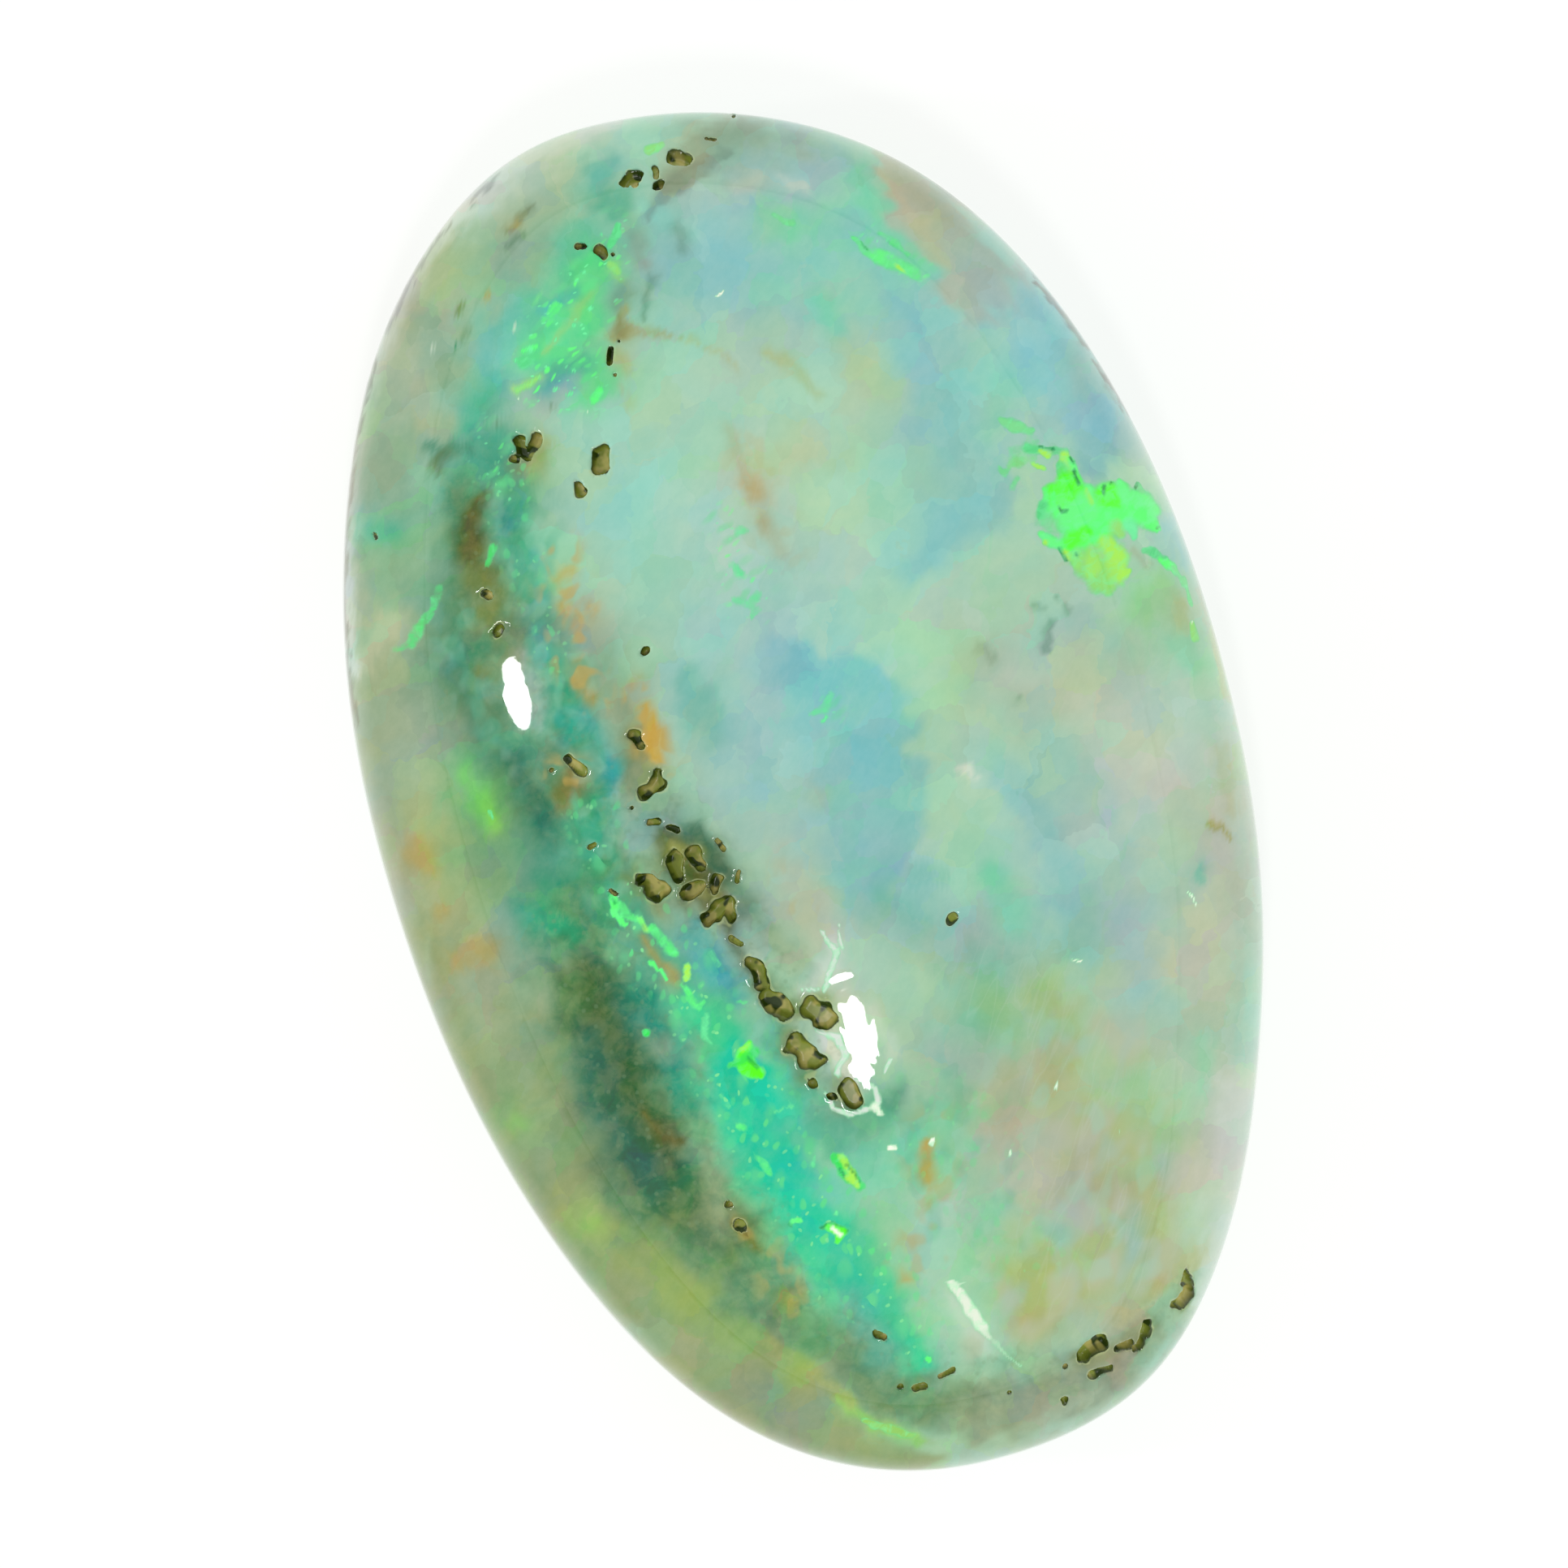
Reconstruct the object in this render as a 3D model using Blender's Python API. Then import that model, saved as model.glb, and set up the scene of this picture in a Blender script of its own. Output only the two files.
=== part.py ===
"""An oval polished opal, cut as a cabochon, modelled as the one solid that it is.

Metres, +Z up. The origin is the middle of the flat base. +Y runs along the stone's long axis and
+X across it, as they lie when the stone is seen from straight above.

The stone is built up from rings that all have the shape of its rim: the upper rings make the
dome, the widest one the girdle, and the lower ones the undercut side and the flat base. The
grains that fell out of the sandy seam while it was polished have left small open pits in the
dome, which are cut out last.
"""

import math

import bmesh
import bpy
from mathutils import Matrix, Vector

MM = 0.001

# The rim, seen from above: a little fuller than an ellipse, and broader towards +Y.
RIM_HALF_WIDTH = 6.2 * MM
RIM_HALF_LENGTH = 10.0 * MM
RIM_FULLNESS = 2.15
RIM_EGG = 0.035

# Grinding by hand has left the rim a little full in some places and a little flat in others: the
# place round the rim and the reach to each side of it, both in degrees, then the share by which
# the rim moves out or in there.
RIM_TOUCHES = (
    (-126, 18, 0.008),
    (-66, 14, 0.014),
    (-32, 14, -0.014),
    (70, 20, -0.016),
    (105, 14, 0.010),
    (148, 14, -0.009),
)

# Heights above the flat base.
STONE_HEIGHT = 6.2 * MM
GIRDLE_HEIGHT = 1.5 * MM

# The dome is a little fuller than an ellipsoid, and its top lies off the middle of the rim.
DOME_FULLNESS = 2.2
TOP_SHIFT_ACROSS = 0.45 * MM
TOP_SHIFT_ALONG = 0.35 * MM

# Below the girdle the side draws in to the base, and a small bevel breaks the base's edge.
UNDERCUT = 0.10
BASE_BEVEL = 0.16 * MM

RING_POINTS = 72
DOME_RINGS = 21
SIDE_RINGS = 4
PIT_ROUNDNESS = 2

# The open pits: place across and along, long and short diameter, depth, all in millimetres,
# then the turn of the long diameter from +X in degrees.
PITS = {
    "crown_left": (-0.06, 9.03, 0.40, 0.24, 0.14, 20),
    "crown_middle": (0.30, 8.87, 0.24, 0.20, 0.12, 0),
    "crown_right": (0.68, 9.14, 0.36, 0.22, 0.14, -15),
    "brow_left": (-1.03, 8.31, 0.18, 0.14, 0.10, -10),
    "brow_right": (-0.76, 8.13, 0.24, 0.20, 0.13, 80),
    "slot": (-1.04, 6.68, 0.30, 0.14, 0.12, 70),
    "triple_grain": (-2.56, 5.76, 0.56, 0.40, 0.16, 20),
    "lone_grain": (-1.58, 5.25, 0.40, 0.30, 0.15, 65),
    "small_diamond": (-1.99, 4.96, 0.24, 0.20, 0.10, 40),
    "pin_hole": (-1.73, 2.50, 0.17, 0.13, 0.12, 0),
    "amber_step": (-2.20, 1.34, 0.26, 0.20, 0.12, 50),
    "seam_upper": (-2.17, 0.62, 0.40, 0.30, 0.15, 40),
    "seam_ring": (-2.55, -0.74, 0.42, 0.36, 0.16, 60),
    "seam_cavity": (-1.92, -0.72, 0.86, 0.62, 0.20, -60),
    "seam_end": (-1.62, -1.32, 0.36, 0.26, 0.18, 70),
    "lower_slot": (-1.42, -2.36, 0.52, 0.24, 0.16, -70),
    "lower_hollow": (-1.24, -2.84, 0.52, 0.36, 0.18, 60),
    "lower_bowl": (-0.76, -3.10, 0.50, 0.38, 0.16, -20),
    "lower_grain": (-1.12, -3.60, 0.60, 0.40, 0.14, -65),
    "lower_eye": (-0.66, -4.34, 0.42, 0.30, 0.15, 70),
    "foot_left": (-1.20, -7.77, 0.24, 0.12, 0.10, -20),
    "foot_middle": (1.66, -8.80, 0.44, 0.30, 0.16, 20),
    "foot_right": (2.36, -8.82, 0.46, 0.18, 0.15, 50),
    "foot_corner": (3.14, -8.45, 0.56, 0.24, 0.15, 75),
}


def rim_point(turn):
    """The rim at this angle round the stone, seen from above."""
    across, along = math.cos(turn), math.sin(turn)
    reach = (abs(across) ** RIM_FULLNESS + abs(along) ** RIM_FULLNESS) ** (-1 / RIM_FULLNESS)
    reach *= 1 + RIM_EGG * along * across**2
    for place, spread, share in RIM_TOUCHES:
        away = math.remainder(turn - math.radians(place), 2 * math.pi) / math.radians(spread)
        reach *= 1 + share * math.exp(-(away**2))
    return Vector((RIM_HALF_WIDTH * reach * across, RIM_HALF_LENGTH * reach * along))


def dome_height(share):
    """Height of the dome where a ring is this share of the rim: 1 at the girdle, 0 at the top."""
    rise = (1 - share**DOME_FULLNESS) ** (1 / 2)
    return GIRDLE_HEIGHT + (STONE_HEIGHT - GIRDLE_HEIGHT) * rise


def dome_point(share, turn):
    """A point of the dome. The rings drift towards the off-centre top as they get smaller."""
    drift = 1 - share**2
    flat = rim_point(turn) * share + Vector((TOP_SHIFT_ACROSS, TOP_SHIFT_ALONG)) * drift
    return Vector((flat.x, flat.y, dome_height(share)))


def side_point(drop, turn):
    """A point of the side. The drop is 0 at the girdle and 1 at the edge of the base."""
    flat = rim_point(turn) * (1 - UNDERCUT * drop**2)
    return Vector((flat.x, flat.y, GIRDLE_HEIGHT * (1 - drop)))


def ring_of(bm, place, number):
    """A closed ring of vertices, each put where place(number, turn) says, joined by edges."""
    turns = [2 * math.pi * i / RING_POINTS for i in range(RING_POINTS)]
    verts = [bm.verts.new(place(number, turn)) for turn in turns]
    return [bm.edges.new((verts[i - 1], verts[i])) for i in range(RING_POINTS)]


def bridge_all(bm, rings):
    """Faces between each ring and the next one down."""
    for upper, lower in zip(rings, rings[1:]):
        bmesh.ops.bridge_loops(bm, edges=upper + lower)


def cap(bm, ring, peak=None):
    """Closes a ring with one face, or with a fan of faces that meet at a peak."""
    face = bmesh.ops.contextual_create(bm, geom=ring)["faces"][0]
    if peak is not None:
        middle = bmesh.ops.poke(bm, faces=[face])["verts"][0]
        middle.co = peak


def stone_mesh():
    bm = bmesh.new()
    # Even steps of the angle up the dome keep the rings close where it is steep.
    climb = [math.pi / 2 * i / (DOME_RINGS + 1) for i in range(1, DOME_RINGS + 2)]
    rings = [ring_of(bm, dome_point, math.sin(angle)) for angle in climb]
    rings += [ring_of(bm, side_point, i / SIDE_RINGS) for i in range(1, SIDE_RINGS + 1)]
    bridge_all(bm, rings)
    cap(bm, rings[0], peak=dome_point(0, 0))
    cap(bm, rings[-1])
    bmesh.ops.recalc_face_normals(bm, faces=bm.faces[:])
    bmesh.ops.bevel(
        bm,
        geom=rings[-1],
        offset=BASE_BEVEL,
        offset_type="OFFSET",
        segments=1,
        profile=0.5,
        affect="EDGES",
        material=-1,
    )
    bmesh.ops.triangulate(bm, faces=bm.faces[:])
    mesh = bpy.data.meshes.new("opal")
    bm.to_mesh(mesh)
    bm.free()
    return mesh


def ring_over(across, along):
    """The share and the turn of the dome point that lies over this place on the base."""
    share = 0.5
    for _ in range(40):
        drift = 1 - share**2
        flat = Vector((across - TOP_SHIFT_ACROSS * drift, along - TOP_SHIFT_ALONG * drift))
        turn = math.atan2(flat.y / RIM_HALF_LENGTH, flat.x / RIM_HALF_WIDTH)
        share = flat.length / rim_point(turn).length
    return share, turn


def dome_over(across, along):
    """The point of the dome over this place on the base."""
    return dome_point(*ring_over(across, along))


def dome_normal(across, along):
    step = 0.05 * MM
    slope_across = dome_over(across + step, along) - dome_over(across - step, along)
    slope_along = dome_over(across, along + step) - dome_over(across, along - step)
    return slope_across.cross(slope_along).normalized()


def pit_cutter(name, across, along, long_side, short_side, depth, turn):
    """A lens, sunk in the dome so that its lower half is the pit."""
    bm = bmesh.new()
    bmesh.ops.create_icosphere(bm, subdivisions=PIT_ROUNDNESS, radius=1)
    mesh = bpy.data.meshes.new(name)
    bm.to_mesh(mesh)
    bm.free()
    normal = dome_normal(across, along)
    lean = Vector((0, 0, 1)).rotation_difference(normal).to_matrix().to_4x4()
    spin = Matrix.Rotation(math.radians(turn), 4, "Z")
    size = Matrix.Diagonal((long_side / 2, short_side / 2, depth, 1))
    mesh.transform(Matrix.Translation(dome_over(across, along)) @ lean @ spin @ size)
    cutter = bpy.data.objects.new(name, mesh)
    cutter.hide_render = True
    cutter.display_type = "WIRE"
    bpy.context.scene.collection.objects.link(cutter)
    return cutter


def opal_material():
    material = bpy.data.materials.new("opal")
    material.use_nodes = True
    shader = material.node_tree.nodes["Principled BSDF"]
    shader.inputs["Base Color"].default_value = (0.36, 0.56, 0.44, 1)
    shader.inputs["Roughness"].default_value = 0.06
    shader.inputs["Metallic"].default_value = 0
    shader.inputs["IOR"].default_value = 1.45
    return material


def opal():
    mesh = stone_mesh()
    stone = bpy.data.objects.new("opal", mesh)
    bpy.context.scene.collection.objects.link(stone)
    mesh.materials.append(opal_material())
    for name, (across, along, long_side, short_side, depth, turn) in PITS.items():
        lengths = [value * MM for value in (across, along, long_side, short_side, depth)]
        cut = stone.modifiers.new(name, "BOOLEAN")
        cut.operation = "DIFFERENCE"
        cut.object = pit_cutter(name, *lengths, turn)
    mesh.shade_smooth()
    mesh.set_sharp_from_angle(angle=math.radians(35))
    return stone


for old in list(bpy.data.objects):
    bpy.data.objects.remove(old)
opal()
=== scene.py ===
"""An oval polished opal, lying on a pale floor and seen from straight above.

Metres in the scene. Everything that is laid out on the stone is in millimetres, as seen from above:
x across it and y along it, from the middle of its base.
"""

import math

import bmesh
import bpy
import numpy as np
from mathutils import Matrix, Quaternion, Vector, noise

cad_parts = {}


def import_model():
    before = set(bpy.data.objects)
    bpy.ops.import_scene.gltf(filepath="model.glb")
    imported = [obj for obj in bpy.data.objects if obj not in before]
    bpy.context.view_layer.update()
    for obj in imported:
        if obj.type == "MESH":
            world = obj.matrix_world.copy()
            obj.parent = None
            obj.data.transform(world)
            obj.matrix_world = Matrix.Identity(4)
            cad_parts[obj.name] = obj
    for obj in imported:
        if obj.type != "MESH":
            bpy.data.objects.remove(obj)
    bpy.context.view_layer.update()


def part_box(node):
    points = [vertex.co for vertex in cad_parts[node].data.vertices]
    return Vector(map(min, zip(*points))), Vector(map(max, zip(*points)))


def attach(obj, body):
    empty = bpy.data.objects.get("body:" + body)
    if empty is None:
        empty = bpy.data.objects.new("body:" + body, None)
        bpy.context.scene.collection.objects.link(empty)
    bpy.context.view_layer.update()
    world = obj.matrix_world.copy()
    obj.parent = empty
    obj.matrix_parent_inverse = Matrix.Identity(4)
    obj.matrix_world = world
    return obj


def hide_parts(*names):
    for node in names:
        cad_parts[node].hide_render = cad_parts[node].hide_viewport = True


MM = 0.001

# The stone's form, as it is cut.
RIM_FULLNESS = 2.15
RIM_EGG = 0.035
# Touches of the grinding: place round the rim and reach, in degrees, and the share out or in.
RIM_TOUCHES = (
    (-126, 18, 0.008),
    (-66, 14, 0.014),
    (-32, 14, -0.014),
    (70, 20, -0.016),
    (105, 14, 0.010),
    (148, 14, -0.009),
)
# The girdle's height, as a share of the stone's.
GIRDLE_SHARE = 0.242
DOME_FULLNESS = 2.2
TOP_SHIFT = (0.45, 0.35)
UNDERCUT = 0.10

# The net that is shaped into the stone: its cells across and along, and the rings below the girdle,
# each with its share of the rim and its height as a share of the girdle's.
NET_ACROSS = 176
NET_ALONG = 284
LOWER_RINGS = (
    (1 - UNDERCUT * 0.06, 0.75),
    (1 - UNDERCUT * 0.25, 0.5),
    (1 - UNDERCUT * 0.56, 0.25),
    (1 - UNDERCUT * 0.80, 0.105),
    (0.904, 0.055),
    (0.896, 0.02),
    (0.884, 0.0),
    (0.870, 0.0),
    (0.5, 0.0),
)

# How much the net's cells crowd towards the rim, how many steps measure the rim, and the share that keeps
# the fine net just inside the solid, whose rim is a little coarser.
NET_CROWDING = 0.3
RIM_STEPS = 721
INSIDE = 0.9997

# How far round the flashes and the pits the net is made finer.
FLASH_MARGIN = 0.12
PIT_MARGIN = 0.03

# Farther than anything on the stone.
FAR = 99.0

# Smooth noise: the step from one seed to the next, its gain, and how fine each of its three kinds is.
NOISE_SHIFT = (17.3, 5.1, 9.7)
NOISE_GAIN = 1.6
DRIFT_SCALE = 0.55
FRAY_SCALE = 2.6
CRUMB_SCALE = 5.5

# How far drift and fray move the edge of a trail, as shares of its half width up to the widest.
DRIFT_SHARE = 0.4
FRAY_SHARE = 0.3
WIDEST_FRAY = 0.6

# How far crumbs move the edges of clouds and flashes, and of pits as a share of their half width.
CLOUD_CRUMBLE = 0.05
FLASH_CRUMBLE = 0.025
PIT_CRUMBLE = 0.35

# How steeply a cloud's edge falls off at a softness of 1.
CLOUD_EDGE = 2.4

# In half widths of a trail: where flashes, pits and small markings end, and over how much they fade.
FLASH_END = 1.8
FLASH_FADE = 1.3
PIT_END = 1.1
PIT_FADE = 0.5
SPREAD_END = 1.9
SPREAD_FADE = 1.5

# How much sooner a flash's ink is full than the flash itself.
FLASH_INK_GAIN = 1.15

# Where the camera looks, and how the stone's long axis leans in the picture.
AIM_ACROSS = -0.343
AIM_ALONG = 0.150
FIELD_WIDTH = 22.50
STONE_LEAN = math.radians(15.97)
CAMERA_DISTANCE = 300.0
SENSOR_WIDTH = 36.0

# The room's light, at the horizon and straight above, and how much of it falls on the top of the stone.
ROOM_LOW = 1.7
ROOM_HIGH = 0.34
LIGHT_ON_TOP = 0.96

# The light off the floor, which the steepest flanks mirror.
FLOOR_LIGHT = 1.0

# How much the polish reflects, seen straight on, the most haze that is allowed for at the flanks, and the
# darkest that a colour may be.
POLISH = 0.030
MOST_HAZE = 0.09
DARKEST = 0.003

# The polish, its roughness on the surface and in the pits, and the depth of its unevenness in millimetres,
# everywhere and beside the seam.
OPAL_IOR = 1.42
POLISHED_ROUGHNESS = 0.03
PIT_ROUGHNESS = 0.25
POLISHED_DEPTH = 0.0004
UNEVEN_DEPTH = 0.009

# The floor's half width in metres, and its own glow, which keeps it pale under the stone's weak light.
FLOOR_REACH = 2.0
FLOOR_GLOW = 0.75

# Colours, as a screen shows them, from 0 to 255.
INKS = {
    "body": (166, 207, 180),
    "milk": (168, 208, 184),
    "ice": (157, 199, 187),
    "aqua": (144, 206, 184),
    "mint": (124, 207, 166),
    "blue": (134, 194, 191),
    "window": (126, 192, 190),
    "lilac": (142, 182, 192),
    "cream": (174, 213, 182),
    "cream_tan": (176, 200, 160),
    "cream_grey": (188, 204, 184),
    "pink_grey": (178, 183, 162),
    "mauve": (166, 174, 172),
    "cream_spot": (208, 218, 198),
    "tan": (170, 184, 160),
    "tan_edge": (184, 182, 148),
    "sage": (157, 170, 141),
    "sage_pale": (178, 190, 168),
    "sage_green": (130, 163, 134),
    "olive_beige": (162, 168, 128),
    "potch": (138, 153, 109),
    "potch_green": (126, 156, 102),
    "potch_yellow": (152, 166, 94),
    "potch_blue": (118, 144, 116),
    "boundary": (140, 196, 96),
    # pale: laid as painted reflection along the edge and round the highlights, and as pale threads in the
    # stone
    "rim": (202, 210, 200),
    "stone_grey": (140, 158, 134),
    "grey_green": (106, 136, 98),
    "dusk": (80, 132, 98),
    "dark": (58, 88, 58),
    "dark_teal": (46, 96, 84),
    "deep_teal": (46, 128, 112),
    "teal": (78, 166, 134),
    "teal_blue": (88, 170, 158),
    "teal_pale": (112, 184, 158),
    "turquoise": (20, 192, 160),
    "seam_green": (58, 196, 146),
    "seam_blue": (54, 164, 172),
    "flash_field": (92, 202, 138),
    "green_glow": (124, 196, 86),
    "ochre": (168, 180, 114),
    "ochre_deep": (156, 162, 92),
    "orange": (184, 156, 82),
    "rust": (166, 146, 78),
    "brown": (126, 112, 56),
    "olive": (122, 124, 66),
    "olive_dark": (84, 86, 36),
    "smudge": (120, 128, 92),
    "lime": (92, 255, 30),
    "bright": (96, 255, 118),
    "mint_flash": (112, 240, 160),
    "yellow_lime": (168, 238, 88),
    "leaf": (60, 222, 88),
    "glow": (92, 214, 132),
    "mint_glow": (108, 250, 132),
    "glow_pale": (128, 222, 146),
    "glow_yellow": (150, 222, 112),
    "sheen": (140, 200, 122),
    "slate": (124, 180, 186),
    "slate_grey": (146, 186, 182),
    "sky": (140, 199, 194),
    "leaf_dark": (22, 128, 78),
    "moss": (108, 140, 88),
    "ash": (162, 180, 152),
    "shade_grey": (104, 108, 96),
    # painted highlights and reflections: glints, the lamp's bright loops, and the streak at the foot
    "glint": (246, 250, 232),
    "gloss": (214, 226, 214),
    "foot_highlight": (226, 236, 216),
    "band_green": (74, 106, 80),
    "straw": (168, 178, 130),
    "sage_warm": (146, 158, 122),
    # painted sheen of the lamps' reflections
    "emerald": (52, 150, 106),
    "lamp_sheen": (190, 190, 188),
    # painted shade along the rim's edge
    "rim_edge_shade": (112, 118, 92),
    "fern": (150, 190, 132),
    "band_brown": (96, 98, 60),
    # painted highlight on the rims of pits
    "pit_rim_highlight": (190, 202, 140),
    # dark olive of the pits: stain, and painted shade on their walls
    "pit_stain_and_shade": (50, 66, 20),
    "pit_olive": (132, 144, 58),
    "pit_amber": (176, 170, 96),
}

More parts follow.
